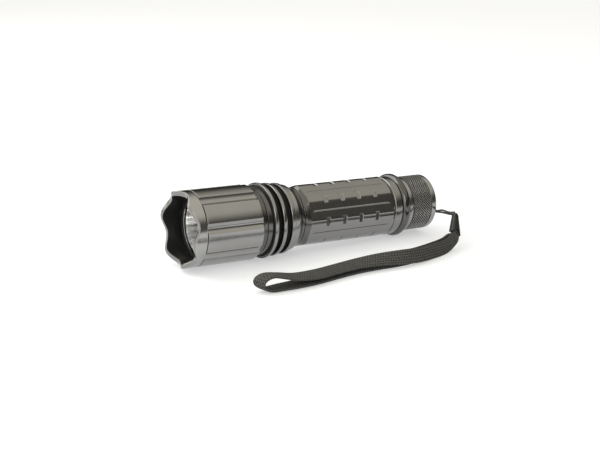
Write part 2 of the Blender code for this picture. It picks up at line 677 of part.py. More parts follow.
def build_barrel(axis):
    ring_start = S_BARREL_END - END_RING_LENGTH
    body_start = S_BARREL + WAIST_LENGTH + RAMP_LENGTH
    body_end = ring_start - RAMP_LENGTH
    front_seal = S_BARREL - ORING_SETBACK
    rear_seal = S_BARREL_END + ORING_SETBACK
    profile = [(S_NOSE, BARREL_BORE), (S_NOSE, FRONT_NOSE_RADIUS)]
    profile += groove_for_o_ring(front_seal, FRONT_NOSE_RADIUS)
    profile += [(S_BARREL, FRONT_NOSE_RADIUS), (S_BARREL, WAIST_RADIUS),
                (S_BARREL + WAIST_LENGTH, WAIST_RADIUS), (body_start, CORNER_FLAT)]
    middle = (body_start + body_end) / 2
    for notch in range(NOTCHES_PER_CORNER):
        centre = middle + (notch - (NOTCHES_PER_CORNER - 1) / 2) * NOTCH_PITCH
        half = NOTCH_WIDTH / 2
        profile += [(centre - half, CORNER_FLAT), (centre - half + NOTCH_RAMP, NOTCH_FLOOR),
                    (centre + half - NOTCH_RAMP, NOTCH_FLOOR), (centre + half, CORNER_FLAT)]
    profile += [(body_end, CORNER_FLAT), (ring_start, WAIST_RADIUS),
                (ring_start + SEAM, END_RING_RADIUS), (S_BARREL_END, END_RING_RADIUS),
                (S_BARREL_END, REAR_NOSE_RADIUS)]
    profile += groove_for_o_ring(rear_seal, REAR_NOSE_RADIUS)
    profile += [(S_REAR_NOSE_END, REAR_NOSE_RADIUS), (S_REAR_NOSE_END, BARREL_BORE)]
    turned("barrel", profile, BLACK_ANODISED, axis, octagon_angles(), octagon)
    o_ring("head_o_ring", front_seal, FRONT_NOSE_RADIUS - ORING_WIRE, RUBBER, axis)
    o_ring("tail_o_ring", rear_seal, REAR_NOSE_RADIUS - ORING_WIRE, RUBBER, axis)


def build_power(axis):
    disc("battery_cell", S_CELL, CELL_LENGTH, CELL_RADIUS, WRAP, axis)
    disc("battery_tip", S_CELL_TIP, CELL_TIP_LENGTH, CELL_TIP_RADIUS, STEEL, axis)
    washer("battery_sleeve", S_CELL + CLEAR, CELL_LENGTH - 2 * CLEAR, CELL_RADIUS + CLEAR, SLEEVE_RADIUS,
           PLASTIC, axis)
    coil("contact_spring", S_FRONT_SPRING, S_CELL_TIP - CLEAR, FRONT_SPRING_RADIUS, SPRING_WIRE,
         FRONT_SPRING_TURNS, BRASS, axis)
    coil("tail_spring", S_CELL_END + CLEAR, S_SWITCH_BOARD - CLEAR, TAIL_SPRING_RADIUS, SPRING_WIRE,
         TAIL_SPRING_TURNS, STEEL, axis)


def build_tail_cap(axis):
    groove = CAP_RADIUS - CAP_GROOVE_DEPTH
    band_start = S_CAP + FLANGE_LENGTH
    band_end = band_start + SEAM + CAP_BAND_LENGTH
    end_start = S_TAIL - CAP_END_LENGTH
    rise = FLANGE_RADIUS - CAP_RADIUS
    flange = [(S_CAP + FLANGE_LENGTH * share, CAP_RADIUS + rise * height) for share, height in FLANGE_FORM]
    profile = [
        (S_CAP, REAR_THREAD_BORE), *flange, (band_start, groove),
        (band_start + SEAM, groove), (band_start + SEAM, CAP_RADIUS), (band_end, CAP_RADIUS),
        (band_end, groove), (band_end + SEAM, groove), (band_end + SEAM, CAP_RADIUS),
        (end_start - SEAM, CAP_RADIUS), (end_start - SEAM, groove), (end_start, groove),
        (end_start, CAP_RADIUS), (S_TAIL - CAP_END_ROUND, CAP_RADIUS), (S_TAIL, REAR_EDGE_RADIUS),
        (S_TAIL, RECESS_RADIUS), (S_RECESS, RECESS_RADIUS), (S_RECESS, BUTTON_HOLE),
        (S_CAVITY_END, BUTTON_HOLE), (S_CAVITY_END, SWITCH_CAVITY), (S_CAVITY, SWITCH_CAVITY),
        (S_CAVITY, REAR_THREAD_BORE),
    ]
    cap = turned("tail_cap", profile, BLACK_ANODISED, axis)
    mouth, inner = tunnel_ends()
    reach = (mouth - inner).normalized() * TUNNEL_RADIUS * 2
    cut_round_hole(cap, inner - reach, mouth + reach, TUNNEL_RADIUS)


def tunnel_ends():
    """The lanyard tunnel runs from the cap's rear face, slanting inwards, to the wall of its recess."""
    rise = (REAR_EDGE_RADIUS - RECESS_RADIUS) * TUNNEL_SHARE
    mouth = Vector(round_the_axis(S_TAIL, RECESS_RADIUS + rise, TUNNEL_CLOCK))
    inner = Vector(round_the_axis(S_TAIL - rise, RECESS_RADIUS, TUNNEL_CLOCK))
    return mouth, inner


def build_switch(axis):
    washer("switch_retaining_ring", S_RETAINER, RETAINER_THICKNESS, SWITCH_RADIUS - RETAINER_WIDTH,
           SWITCH_RADIUS, BRASS, axis)
    disc("switch_board", S_SWITCH_BOARD, SWITCH_BOARD_THICKNESS, SWITCH_RADIUS, BOARD, axis)
    bore = PLUNGER_RADIUS + CLEAR
    turned("switch_housing", [(S_HOUSING, bore), (S_HOUSING, SWITCH_RADIUS), (S_HOUSING_END, SWITCH_RADIUS),
                              (S_HOUSING_END, BUTTON_HOLE), (S_WELL, BUTTON_HOLE), (S_WELL, bore)],
           PLASTIC, axis, even_angles(HIDDEN_SIDES))
    washer("button_seal", S_SEAL, SEAL_THICKNESS, BUTTON_HOLE, SWITCH_RADIUS, RUBBER, axis)
    top = S_TAIL - BUTTON_SETBACK
    arc = [pi / 2 * step / 4 for step in range(5)]
    flat = BUTTON_RADIUS * BUTTON_TOP_SHARE
    crown_arc = [(top - BUTTON_CROWN * (1 - sin(turn)), flat + (BUTTON_RADIUS - flat) * cos(turn))
                 for turn in arc]
    turned("tail_button", [(S_SEAL, 0), (S_SEAL, BUTTON_RADIUS)] + crown_arc + [(top, 0)], RUBBER, axis)
    plunger_front = S_HOUSING + PLUNGER_FRONT_GAP
    disc("switch_plunger", plunger_front, S_SEAL - CLEAR - plunger_front, PLUNGER_RADIUS, PLASTIC, axis)
    coil("return_spring", S_WELL + CLEAR, S_SEAL - CLEAR, RETURN_SPRING_RADIUS, RETURN_SPRING_WIRE,
         RETURN_SPRING_TURNS, STEEL, axis)


def crimp_frame():
    """Unit vectors along the crimp (top to mouth), across its width and through its depth."""
    along = (CRIMP_MOUTH - CRIMP_TOP).normalized()
    across = (CRIMP_ACROSS - along * CRIMP_ACROSS.dot(along)).normalized()
    return along, across, along.cross(across)


def build_crimp():
    """A tapered sleeve, closed at the string's end and open where the strap's two plies go in.

    Its two wide faces are notched in the middle, so that a prong is left at each edge of the strap.
    """
    along, across, through = crimp_frame()
    pocket_floor = CRIMP_MOUTH - along * CRIMP_POCKET
    pocket_width = CRIMP_MOUTH_WIDTH - 2 * CRIMP_WALL
    pocket_depth = 2 * STRAP_GATHERED_THICKNESS + STRAP_GATHERED_GAP + 2 * CLEAR
    mouth_depth = pocket_depth + 2 * CRIMP_WALL
    sections = [(CRIMP_TOP, CRIMP_TOP_WIDTH, CRIMP_TOP_DEPTH, 0.0),
                (CRIMP_MOUTH, CRIMP_MOUTH_WIDTH, mouth_depth, CRIMP_NOTCH),
                (CRIMP_MOUTH, pocket_width, pocket_depth, CRIMP_NOTCH),
                (pocket_floor, pocket_width, pocket_depth, 0.0)]
    outline = [(1, 1), (0, 1), (-1, 1), (-1, -1), (0, -1), (1, -1)]
    count = len(outline)
    points = []
    for centre, width, depth, notch in sections:
        for side, face in outline:
            back = along * notch * (1 - abs(side))
            points.append(centre - back + across * side * width / 2 + through * face * depth / 2)
    faces = [list(range(count)), list(range(len(points) - count, len(points)))]
    for section in range(len(sections) - 1):
        for corner in range(count):
            after = (corner + 1) % count
            low = count * section
            faces.append([low + corner, low + after, low + count + after, low + count + corner])
    add_object("lanyard_crimp", mesh_from("lanyard_crimp", points, faces), BLACK_ANODISED, None)


def strap_stations():
    """Stations of the folded strap: centre between its plies, direction across, width, thickness and
    half the distance between the plies.

    The plies leave the crimp together, gathered, then stand on edge and roll over until they lie flat,
    one over the other, and part where the strap turns back on itself. Along the floor the height follows
    from the roll, so that the lowest edge just clears the surface.
    """
    along, across, through = crimp_frame()
    thin = STRAP_GATHERED_THICKNESS
    gathered = (thin + STRAP_GATHERED_GAP) / 2
    lifted = (STRAP_THICKNESS + STRAP_GATHERED_GAP) / 2
    closed = (STRAP_THICKNESS + STRAP_PLY_GAP) / 2
    narrow = CRIMP_MOUTH_WIDTH - 2 * CRIMP_WALL - 2 * CLEAR
    seat = CRIMP_MOUTH - along * (CRIMP_POCKET - CLEAR)
    stations = [(seat, across, narrow, thin, gathered),
                (CRIMP_MOUTH + along * CLEAR, across, narrow, thin, gathered)]
    stations.append((STRAP_LIFTED, STRAP_LIFTED_ACROSS.normalized(), STRAP_WIDTH * STRAP_LIFTED_SHARE,
                     STRAP_THICKNESS, lifted))
    for x, y, roll, slant, spread in STRAP_RUN:
        tilt = radians(roll)
        yaw = radians(slant)
        half = closed + spread
        height = STRAP_FLOOR_GAP + STRAP_WIDTH / 2 * cos(tilt) + (half + STRAP_THICKNESS / 2) * sin(tilt)
        sideways = Vector((sin(tilt) * sin(yaw), -sin(tilt) * cos(yaw), -cos(tilt)))
        stations.append((Vector((x, y, height)), sideways, STRAP_WIDTH, STRAP_THICKNESS, half))
    return stations


def strap_path():
    """Centre line, direction across, width and thickness of the webbing: front ply, hairpin, back ply."""
    stations = strap_stations()
    front = []
    back = []
    for index, (centre, across, width, thickness, half) in enumerate(stations):
        before = stations[max(index - 1, 0)][0]
        after = stations[min(index + 1, len(stations) - 1)][0]
        normal = (after - before).cross(across).normalized()
        section = Vector((width, thickness, 0))
        front.append((centre + normal * half, across, section))
        back.append((centre - normal * half, across, section))
    centre, across, width, thickness, half = stations[-1]
    onward = (centre - stations[-2][0]).normalized()
    normal = onward.cross(across).normalized()
    hairpin = []
    for step in range(1, 6):
        turn = pi * step / 6
        place = centre + normal * half * cos(turn) + onward * half * sin(turn) * HAIRPIN_BULGE
        hairpin.append((place, across, Vector((width, thickness, 0))))
    return front + hairpin + list(reversed(back))


def build_strap():
    """Webbing of rectangular section carried along the strap's path."""
    centres, acrosses, sections = [smooth_path(list(column), STRAP_STEPS) for column in zip(*strap_path())]
    print("wrist_strap webbing length, mm:", round(1000 * path_length(centres), 1))
    points = []
    faces = []
    for index, (centre, across, section) in enumerate(zip(centres, acrosses, sections)):
        along = centres[min(index + 1, len(centres) - 1)] - centres[max(index - 1, 0)]
        side = across.normalized()
        normal = along.cross(side).normalized()
        for sign_a, sign_b in ((1, 1), (-1, 1), (-1, -1), (1, -1)):
            points.append(centre + side * sign_a * section.x / 2 + normal * sign_b * section.y / 2)
    for index in range(len(centres) - 1):
        for corner in range(4):
            after = (corner + 1) % 4
            low = 4 * index
            faces.append([low + corner, low + after, low + 4 + after, low + 4 + corner])
    faces.append([0, 1, 2, 3])
    last = len(points) - 4
    faces.append([last + 3, last + 2, last + 1, last])
    add_object("wrist_strap", mesh_from("wrist_strap", points, faces), WEBBING, None)


def build_string(axis):
    """The thin cord: out of the crimp, through the tunnel in the cap's rear rim and back."""
    to_world = axis.matrix_world
    along, across, through = crimp_frame()
    mouth, inner = tunnel_ends()

    def at_tail(radius, behind, rise, turn):
        return to_world @ Vector(round_the_axis(S_TAIL + behind, radius + rise, TUNNEL_CLOCK + turn))

    start = CRIMP_TOP - along * CLEAR - across * STRING_SPREAD
    end = CRIMP_TOP - along * CLEAR + across * STRING_SPREAD
    lift = -along * STRING_LIFT
    before, inside, turn, after = LOOP_POINTS
    tunnel = [to_world @ mouth, to_world @ ((mouth + inner) / 2), to_world @ inner]
    route = [start, start + lift, *STRING_OUT, at_tail(mouth.yz.length, *before), *tunnel,
             at_tail(RECESS_RADIUS, *inside), at_tail(BUTTON_RADIUS, *turn), at_tail(RECESS_RADIUS, *after),
             *STRING_BACK, end + lift, end]
    path = smooth_path(route, STRING_STEPS)
    print("lanyard_string least gap to itself, mm:", round(1000 * least_gap(path, STRING_RADIUS), 2))
    print("lanyard_string length, mm:", round(1000 * path_length(path), 1))
    cord = bpy.data.curves.new("lanyard_string", "CURVE")
    cord.dimensions = "3D"
    cord.bevel_depth = STRING_RADIUS
    cord.bevel_resolution = 2
    cord.use_fill_caps = True
    spline = cord.splines.new("POLY")
    spline.points.add(len(path) - 1)
    for point, place in zip(spline.points, path):
        point.co = (*place, 1.0)
    cord.materials.append(finish("lanyard_string", *WEBBING))
    bpy.context.collection.objects.link(bpy.data.objects.new("lanyard_string", cord))


def build_axis():
    """The empty that carries every piece of the light, on the axis that its screwed pieces turn about."""
    axis = bpy.data.objects.new("light_axis", None)
    axis.location = (AXIS_START, 0.0, AXIS_HEIGHT)
    axis.rotation_euler = (0.0, DIP, 0.0)
    bpy.context.collection.objects.link(axis)
    bpy.context.view_layer.update()
    return axis


def main():
    clear_scene()
    axis = build_axis()
    build_bezel(axis)
    build_lens_and_reflector(axis)
    build_head_shell(axis)
    build_heat_sink(axis)
    build_light_module(axis)
    build_barrel(axis)
    build_power(axis)
    build_tail_cap(axis)
    build_switch(axis)
    build_crimp()
    build_strap()
    build_string(axis)
    print("axis start, mm:", round(1000 * AXIS_START, 3), "height:", round(1000 * AXIS_HEIGHT, 3),
          "dip, degrees:", round(degrees(DIP), 4), "tail station:", round(1000 * S_TAIL, 3))


main()
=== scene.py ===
"""Looks of a tactical flashlight lying beside its wrist strap.

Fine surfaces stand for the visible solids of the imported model, and every piece gets a procedural finish.
Stations along the light's axis, radii and other sizes inside the functions are millimetres.
"""
import json

import bmesh
import bpy
import numpy as np
from bpy.props import FloatProperty, FloatVectorProperty, IntProperty, PointerProperty
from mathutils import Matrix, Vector


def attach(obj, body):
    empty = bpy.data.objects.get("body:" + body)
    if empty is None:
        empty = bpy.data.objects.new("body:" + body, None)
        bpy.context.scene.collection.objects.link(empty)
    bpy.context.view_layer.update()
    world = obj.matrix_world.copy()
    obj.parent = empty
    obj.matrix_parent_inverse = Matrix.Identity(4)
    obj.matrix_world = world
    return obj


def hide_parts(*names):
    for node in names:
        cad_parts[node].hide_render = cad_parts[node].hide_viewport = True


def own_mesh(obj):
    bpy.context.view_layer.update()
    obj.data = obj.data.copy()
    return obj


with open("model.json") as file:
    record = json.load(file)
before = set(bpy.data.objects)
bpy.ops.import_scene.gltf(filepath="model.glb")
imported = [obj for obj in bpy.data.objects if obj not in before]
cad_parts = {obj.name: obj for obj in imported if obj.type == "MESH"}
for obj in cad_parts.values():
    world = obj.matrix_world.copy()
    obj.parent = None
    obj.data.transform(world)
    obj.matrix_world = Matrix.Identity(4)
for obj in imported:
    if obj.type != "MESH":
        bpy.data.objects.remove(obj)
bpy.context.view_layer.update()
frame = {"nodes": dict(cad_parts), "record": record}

bl_info = {
    "name": "Tactical flashlight",
    "version": (1, 0, 0),
    "blender": (4, 5, 0),
    "location": "View3D > Sidebar > Flashlight",
    "description": "Builds the visible pieces of a tactical flashlight with its wrist strap",
    "category": "Object",
}

# The light's axis: its front point, how far it dips towards the tail, and its direction
AXIS_FRONT = np.array([-73.277, 0.0, 20.554])
DIP = np.radians(1.8462)

# Stations along the axis
BEZEL_SHOULDER, LIP, POCKET, SKIRT_END = 7.0, 8.0, 9.6, 13.2
LENS_FRONT, LENS_REAR = 11.2, 13.2
REFLECTOR_FRONT, REFLECTOR_REAR = 13.5, 32.8
HEAD_FRONT, LENS_SEAT_REAR, PANEL_END, HEAD_END = 7.4, 15.2, 38.9, 41.2
SPIGOT, SINK_FRONT = 36.5, 41.5
FIN_STARTS, FIN_WIDTH = np.array([44.4, 49.6, 54.8]), 2.3
SHELF_FRONT, SHELF_REAR = 49.6, 52.4
COLLAR, CONE, WAIST, SINK_END = 57.1, 60.1, 62.7, 63.9
NOSE_FRONT, BARREL_FRONT, BARREL_END, REAR_NOSE_END = 52.8, 64.2, 123.8, 129.9
FRONT_GROOVE, REAR_GROOVE = (61.2, 62.8), (125.2, 126.8)
FRONT_CONE, BODY_START, BODY_END, REAR_CONE, RING_FRONT = 65.4, 67.4, 117.4, 119.4, 119.8
CAP_FRONT, BAND, KNURL, CAP_END_RING, CAP_END = 124.2, 128.8, 131.8, 143.4, 146.8
CAP_CAVITY, CAP_CAVITY_END, RECESS = 130.2, 141.6, 143.2
SPRING_SEAT, BUTTON_FRONT = 137.9, 140.2

# Radii
HEAD_RADIUS, NECK_RADIUS = 19.0, 17.2
SKIRT_RADIUS, SKIRT_BORE, LIP_RADIUS, MOUTH_RADIUS = 16.5, 15.7, 14.8, 16.6
LENS_RADIUS = 15.4
SKIRT_SOCKET, LENS_SEAT, HEAD_BORE, NECK_BORE = 16.8, 15.7, 15.3, 13.3
FIN_RADII, FIN_ROOT = np.array([19.1, 18.5, 18.0]), 16.3
COLLAR_RADIUS, WAIST_RADIUS = 16.9, 14.8
SPIGOT_RADIUS, SPIGOT_BORE, SHELF_BORE = 13.0, 11.8, 10.3
SIDE_APOTHEM, CORNER_RADIUS, END_RING = 15.15, 15.93, 15.3
BARREL_BORE, FRONT_NOSE, FRONT_GROOVE_FLOOR, REAR_NOSE, REAR_GROOVE_FLOOR = 10.2, 12.7, 11.4, 12.4, 11.1
FLANGE_RADIUS, CAP_RADIUS = 16.5, 14.4
CAP_THREAD, CAP_BORE, BUTTON_HOLE = 12.7, 11.6, 7.5
RECESS_RADIUS, BUTTON_RADIUS = 10.4, 7.2

# Angles round the axis, from the top towards the strap's side
CROWN_CLOCK = np.radians(-17.6)
CORNER_CLOCK = np.radians(2.0)
FLUTE_CLOCK = np.radians(78.7)
TUNNEL_CLOCK = np.radians(102.0)

# What repeats round the axis
LOBES = 6
FLUTES = 8
SIDES = 8

# The lanyard's crimp
CRIMP_TOP = np.array([74.3, -28.8, 14.5])
CRIMP_MOUTH = np.array([68.3, -36.4, 6.5])
CRIMP_ACROSS = np.array([0.814, -0.026, -0.580])

# The lanyard's string and its wrist strap of flat webbing
STRING_RADIUS = 0.5
STRAP_WIDTH, STRAP_THICKNESS = 7.6, 1.4

# The camera, in metres, and the point that both lamps face
CAMERA_PLACE, CAMERA_AIM = (-0.35631, -0.57073, 0.19446), (0.50785, 0.82104, -0.26074)
CAMERA_SENSOR, CAMERA_LENS = 36.0, 81.56
LAMP_TARGET = (0.0, 0.0, 0.02)


# Shapes


def fillet(profile, sizes, steps=4):
    """Round the corners of a closed outline: each corner becomes the quadratic curve that leaves one side
    and joins the next at the given distance from the corner, at most 0.45 of the shorter side."""
    corner = np.array(profile, float)
    back, onward = np.roll(corner, 1, 0) - corner, np.roll(corner, -1, 0) - corner
    back_length, onward_length = np.linalg.norm(back, axis=1), np.linalg.norm(onward, axis=1)
    shorter = np.minimum(back_length, onward_length)
    reach = np.minimum(np.broadcast_to(sizes, shorter.shape), 0.45 * shorter)
    first = corner + back * (reach / back_length)[:, None]
    last = corner + onward * (reach / onward_length)[:, None]
    t = np.linspace(0, 1, steps + 1)[None, :, None]
    curve = (1 - t) ** 2 * first[:, None] + 2 * t * (1 - t) * corner[:, None] + t ** 2 * last[:, None]
    points = curve.reshape(-1, 2)
    return points[np.linalg.norm(points - np.roll(points, 1, 0), axis=1) > 1e-6]


def subdivide(profile, step):
    """Points along a closed outline, no further apart than step, with its own points kept."""
    onward = np.roll(profile, -1, 0) - profile
    counts = np.maximum(1, np.ceil(np.linalg.norm(onward, axis=1) / step)).astype(int)
    index = np.repeat(np.arange(len(profile)), counts)
    share = (np.arange(counts.sum()) - np.repeat(np.cumsum(counts) - counts, counts)) / counts[index]
    return profile[index] + share[:, None] * onward[index]


def level_rows(stations, radius):
    """Outline points at the stations, all at one radius."""
    return np.stack([stations, np.full(stations.shape, radius)], axis=1)


def on_axis_frame(station, radius, angle):
    """Place, in millimetres, of points given by station, radius and angle round the light's axis."""
    across, up = -radius * np.sin(angle), radius * np.cos(angle)
    station = np.broadcast_to(station, across.shape)
    x = AXIS_FRONT[0] + station * np.cos(DIP) + up * np.sin(DIP)
    z = AXIS_FRONT[2] - station * np.sin(DIP) + up * np.cos(DIP)
    return np.stack([x, across, z], axis=-1)


def around(sides):
    """Even angles of one whole turn."""
    return np.linspace(0, 2 * np.pi, sides, endpoint=False)


def turned(profile, angles, shape=None):
    """Grid of an outline swept round the axis through the angles; shape may move its stations and radii."""
    angle = angles[None, :]
    station, radius = profile[:, 0][:, None], profile[:, 1][:, None]
    if shape:
        station, radius = shape(station, radius, angle)
    station, radius = np.broadcast_arrays(station + 0 * angle, radius + 0 * angle)
    return on_axis_frame(station, radius, angle + 0 * radius)


def repeated(pattern, count, clock):
    """Angles of a pattern that repeats evenly round the axis, its first middle at clock."""
    return (clock + 2 * np.pi / count * np.arange(count)[:, None] + pattern[None, :]).ravel()


def from_nearest(angle, count, clock):
    """Angle from the nearest of count even directions, of which one lies at clock."""
    pitch = 2 * np.pi / count
    return (angle - clock + pitch / 2) % pitch - pitch / 2


def rounded(wave, power):
    """A wave's sign times its size to a power. Below 1, the circle drawn by sine and cosine squares off."""
    return np.sign(wave) * np.abs(wave) ** power


def mesh_piece(name, grid, close_rows=True, uv=None, sharp=40.0, inner=None):
    """An object from a grid of points (rows, columns, 3) in millimetres, whose columns join up in a ring.

    Every four neighbours make a face. Rows join up too where close_rows is set; otherwise the first and
    the last row are closed by a flat face. Doubled points at poles are merged, and faces turned outwards.
    Faces take the piece's finish whose number inner gives for their row.
    """
    rows, columns = grid.shape[:2]
    index = np.arange(rows * columns).reshape(rows, columns)
    below, right = np.roll(index, -1, 0), np.roll(index, -1, 1)
    faces = np.stack([index, right, np.roll(below, -1, 1), below], axis=-1)
    faces = faces if close_rows else faces[:-1]
    mesh = bpy.data.meshes.new(name)
    caps = [] if close_rows else [index[0].tolist(), index[-1][::-1].tolist()]
    mesh.from_pydata((grid.reshape(-1, 3) * 0.001).tolist(), [], faces.reshape(-1, 4).tolist() + caps)
    if inner is not None:
        mesh.polygons.foreach_set("material_index", np.repeat(inner, columns).astype(np.int32))
    if uv is not None:
        layer = mesh.uv_layers.new(name="along")
        corners = np.empty(len(mesh.loops), dtype=np.int32)
        mesh.loops.foreach_get("vertex_index", corners)
        values = uv.reshape(-1, 2)[corners]
        values[: faces.size] = uv_at_corners(uv, close_rows).reshape(-1, 2)
        layer.uv.foreach_set("vector", values.astype(np.float32).ravel())
    work = bmesh.new()
    work.from_mesh(mesh)
    bmesh.ops.remove_doubles(work, verts=work.verts, dist=1e-7)
    bmesh.ops.recalc_face_normals(work, faces=work.faces)
    work.to_mesh(mesh)
    work.free()
    mesh.shade_smooth()
    mesh.set_sharp_from_angle(angle=np.radians(sharp))
    piece = bpy.data.objects.new(name, mesh)
    bpy.context.scene.collection.objects.link(piece)
    return piece


def uv_at_corners(uv, close_rows):
    """UV of each face corner, with the ring's last column running on past its seam."""
    step = uv[:, 1:2] - uv[:, 0:1]
    wide = np.concatenate([uv, uv[:, -1:] + step], axis=1)
    below = np.roll(wide, -1, 0)
    faces = np.stack([wide[:, :-1], wide[:, 1:], below[:, 1:], below[:, :-1]], axis=2)
    return faces if close_rows else faces[:-1]


def dress(piece, finishes, body, slot, *nodes):
    """Give a new piece its finish or finishes and its CAD body, and let it stand for CAD nodes."""
    for finish in finishes if isinstance(finishes, tuple) else (finishes,):
        piece.data.materials.append(finish)
    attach(piece, body)
    if nodes:
        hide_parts(*nodes)


def smooth_step(value):
    """0 below 0, 1 above 1, and between them three times the square less twice the cube."""
    value = np.clip(value, 0, 1)
    return value * value * (3 - 2 * value)


def curve_through(points, count, steps=24):
    """Evenly spaced points on the cubic curve through all rows of an array, whose slope at a row is half the
    step between its neighbours, and their distances along it by the first three columns."""
    points = np.array(points, float)
    ends = np.concatenate([points[:1], points, points[-1:]])
    before, first, second, after = ends[:-3], ends[1:-2], ends[2:-1], ends[3:]
    t = np.linspace(0, 1, steps, endpoint=False)[None, :, None]
    p = 0.5 * (2 * first[:, None] + (second - before)[:, None] * t
               + (2 * before - 5 * first + 4 * second - after)[:, None] * t ** 2
               + (3 * first - before - 3 * second + after)[:, None] * t ** 3)
    dense = np.concatenate([p.reshape(-1, points.shape[1]), points[-1:]])
    reach = np.concatenate([[0], np.cumsum(np.linalg.norm(np.diff(dense[:, :3], axis=0), axis=1))])
    even = np.linspace(0, reach[-1], count)
    return np.stack([np.interp(even, reach, column) for column in dense.T], axis=1), even


def unit(vectors):
    """Vectors brought to length one."""
    return vectors / np.linalg.norm(vectors, axis=-1, keepdims=True)


# Finishes


class Finish:
    """A material's node tree with short ways to add and join nodes."""

    def __init__(self, name):
        self.material = bpy.data.materials.new(name)
        self.material.use_nodes = True
        self.tree = self.material.node_tree
        self.shader = self.tree.nodes["Principled BSDF"]
        self.place = self.add("ShaderNodeTexCoord")

    def add(self, kind, **values):
        node = self.tree.nodes.new(kind)
        for key, value in values.items():
            setattr(node, key, value)
        return node

    def join(self, source, target):
        self.tree.links.new(source, target)

    def set(self, **values):
        for key, value in values.items():
            self.shader.inputs[key.replace("_", " ")].default_value = value
        return self

    def drive(self, socket, source):
        """Let a node's output give one of the shader's values."""
        self.join(source, self.shader.inputs[socket])

    def noise(self, scale, detail=3.0):
        node = self.add("ShaderNodeTexNoise")
        node.inputs["Scale"].default_value = scale
        node.inputs["Detail"].default_value = detail
        self.join(self.place.outputs["Object"], node.inputs["Vector"])
        return node.outputs["Fac"]

    def map_axes(self):
        """The two values of the piece's UV map."""
        node = self.add("ShaderNodeSeparateXYZ")
        self.join(self.place.outputs["UV"], node.inputs["Vector"])
        return node.outputs["X"], node.outputs["Y"]

    def spread(self, source, low, high, first=0.0, last=1.0):
        """Map a value from first to last, by default 0 to 1, on to low to high."""
        node = self.add("ShaderNodeMapRange")
        limits = {"From Min": first, "From Max": last, "To Min": low, "To Max": high}
        for key, value in limits.items():
            node.inputs[key].default_value = value
        self.join(source, node.inputs["Value"])
        return node.outputs["Result"]

    def blend(self, share, first, second):
        """Colour between two colours by a 0 to 1 value."""
        node = self.add("ShaderNodeMix", data_type="RGBA")
        node.inputs["A"].default_value = (*first, 1.0)
        node.inputs["B"].default_value = (*second, 1.0)
        self.join(share, node.inputs["Factor"])
        return node.outputs["Result"]

    def math(self, operation, *values):
        node = self.add("ShaderNodeMath", operation=operation)
        for socket, value in zip(node.inputs, values):
            if isinstance(value, (int, float)):
                socket.default_value = value
            else:
                self.join(value, socket)
        return node.outputs["Value"]

    def bump(self, height, distance, strength=1.0):
        node = self.add("ShaderNodeBump")
        node.inputs["Strength"].default_value = strength
        node.inputs["Distance"].default_value = distance
        self.join(height, node.inputs["Height"])
        self.drive("Normal", node.outputs["Normal"])

    def cloud(self, scale, colour, change):
        """A colour that drifts from a little darker to a little lighter over the piece."""
        darker, lighter = shade(colour, 1 - change), shade(colour, 1 + change)
        self.drive("Base Color", self.blend(self.noise(scale), darker, lighter))

    def gloss(self, scale, low, high):
        """A roughness that drifts from low to high over the piece."""
        self.drive("Roughness", self.spread(self.noise(scale), low, high))

    def etch(self, roughness):
        """The faintly cloudy gloss and very fine grain of etched and anodised metal."""
        self.gloss(240.0, roughness - 0.04, roughness + 0.05)
        self.bump(self.noise(9000.0, 2.0), 0.000004, 0.35)


def shade(colour, factor):
    """A colour made darker or lighter by a factor, up to white."""
    return tuple(min(1.0, channel * factor) for channel in colour)


def anodised_finish(name, settings, lightness=1.0, roughness=None):
    """Hard black anodising: dark metal with a faint cloudy gloss and a very fine etched grain."""
    finish = Finish(name).set(Metallic=1.0)
    finish.cloud(60.0, shade(settings.body_colour, lightness), 0.1)
    finish.etch(roughness or settings.body_roughness)
    return finish.material


def plain_finish(name, colour, roughness, metallic=0.0, grain=900.0):
    """A finish with slight colour clouding and a fine grain."""
    finish = Finish(name).set(Metallic=metallic)
    finish.cloud(140.0, colour, 0.12)
    finish.gloss(400.0, max(0.02, roughness - 0.05), roughness + 0.05)
    finish.bump(finish.noise(grain), 0.00001, 0.5)
    return finish.material


def knurl_finish(name, settings):
    """Anodised metal with painted shade in its knurl grooves, which turn nearly black and not metallic.

    The UV map holds knurl pitches round and along, so a groove lies wherever their sum or their difference
    is close to a whole number. Away from the knurl the map stays at a point between grooves.
    """
    finish = Finish(name)
    turn, along = finish.map_axes()
    near = finish.math("MINIMUM", finish.math("PINGPONG", finish.math("ADD", turn, along), 0.5),
                       finish.math("PINGPONG", finish.math("SUBTRACT", turn, along), 0.5))
    land = finish.spread(near, 0.0, 1.0, first=0.10, last=0.24)
    colour = tuple(settings.body_colour)
    # Painted shade in the grooves: nearly black and not metallic there
    finish.drive("Base Color", finish.blend(land, shade(colour, 0.05), colour))
    finish.drive("Metallic", land)
    finish.etch(settings.body_roughness)
    return finish.material


def painted_shade_finish(name):
    """Painted shade for grooves, bores and gaps: a matt, nearly black stand-in for the shade that falls
    there.
    """
    finish = Finish(name).set(Specular_IOR_Level=0.15)
    finish.cloud(140.0, (0.010, 0.010, 0.010), 0.2)
    finish.gloss(400.0, 0.40, 0.50)
    return finish.material


def glass_finish():
    """Clear flat glass with a trace of smears in its gloss."""
    finish = Finish("lens_glass").set(Base_Color=(1.0, 1.0, 1.0, 1.0), IOR=1.45, Transmission_Weight=1.0)
    finish.gloss(80.0, 0.0, 0.02)
    return finish.material


def mirror_finish():
    """Vacuum coated reflector with a faint orange peel."""
    finish = Finish("reflector_coat").set(Base_Color=(0.98, 0.98, 0.97, 1.0), Metallic=1.0)
    finish.gloss(120.0, 0.09, 0.14)
    finish.bump(finish.noise(700.0), 0.00002, 0.4)
    return finish.material


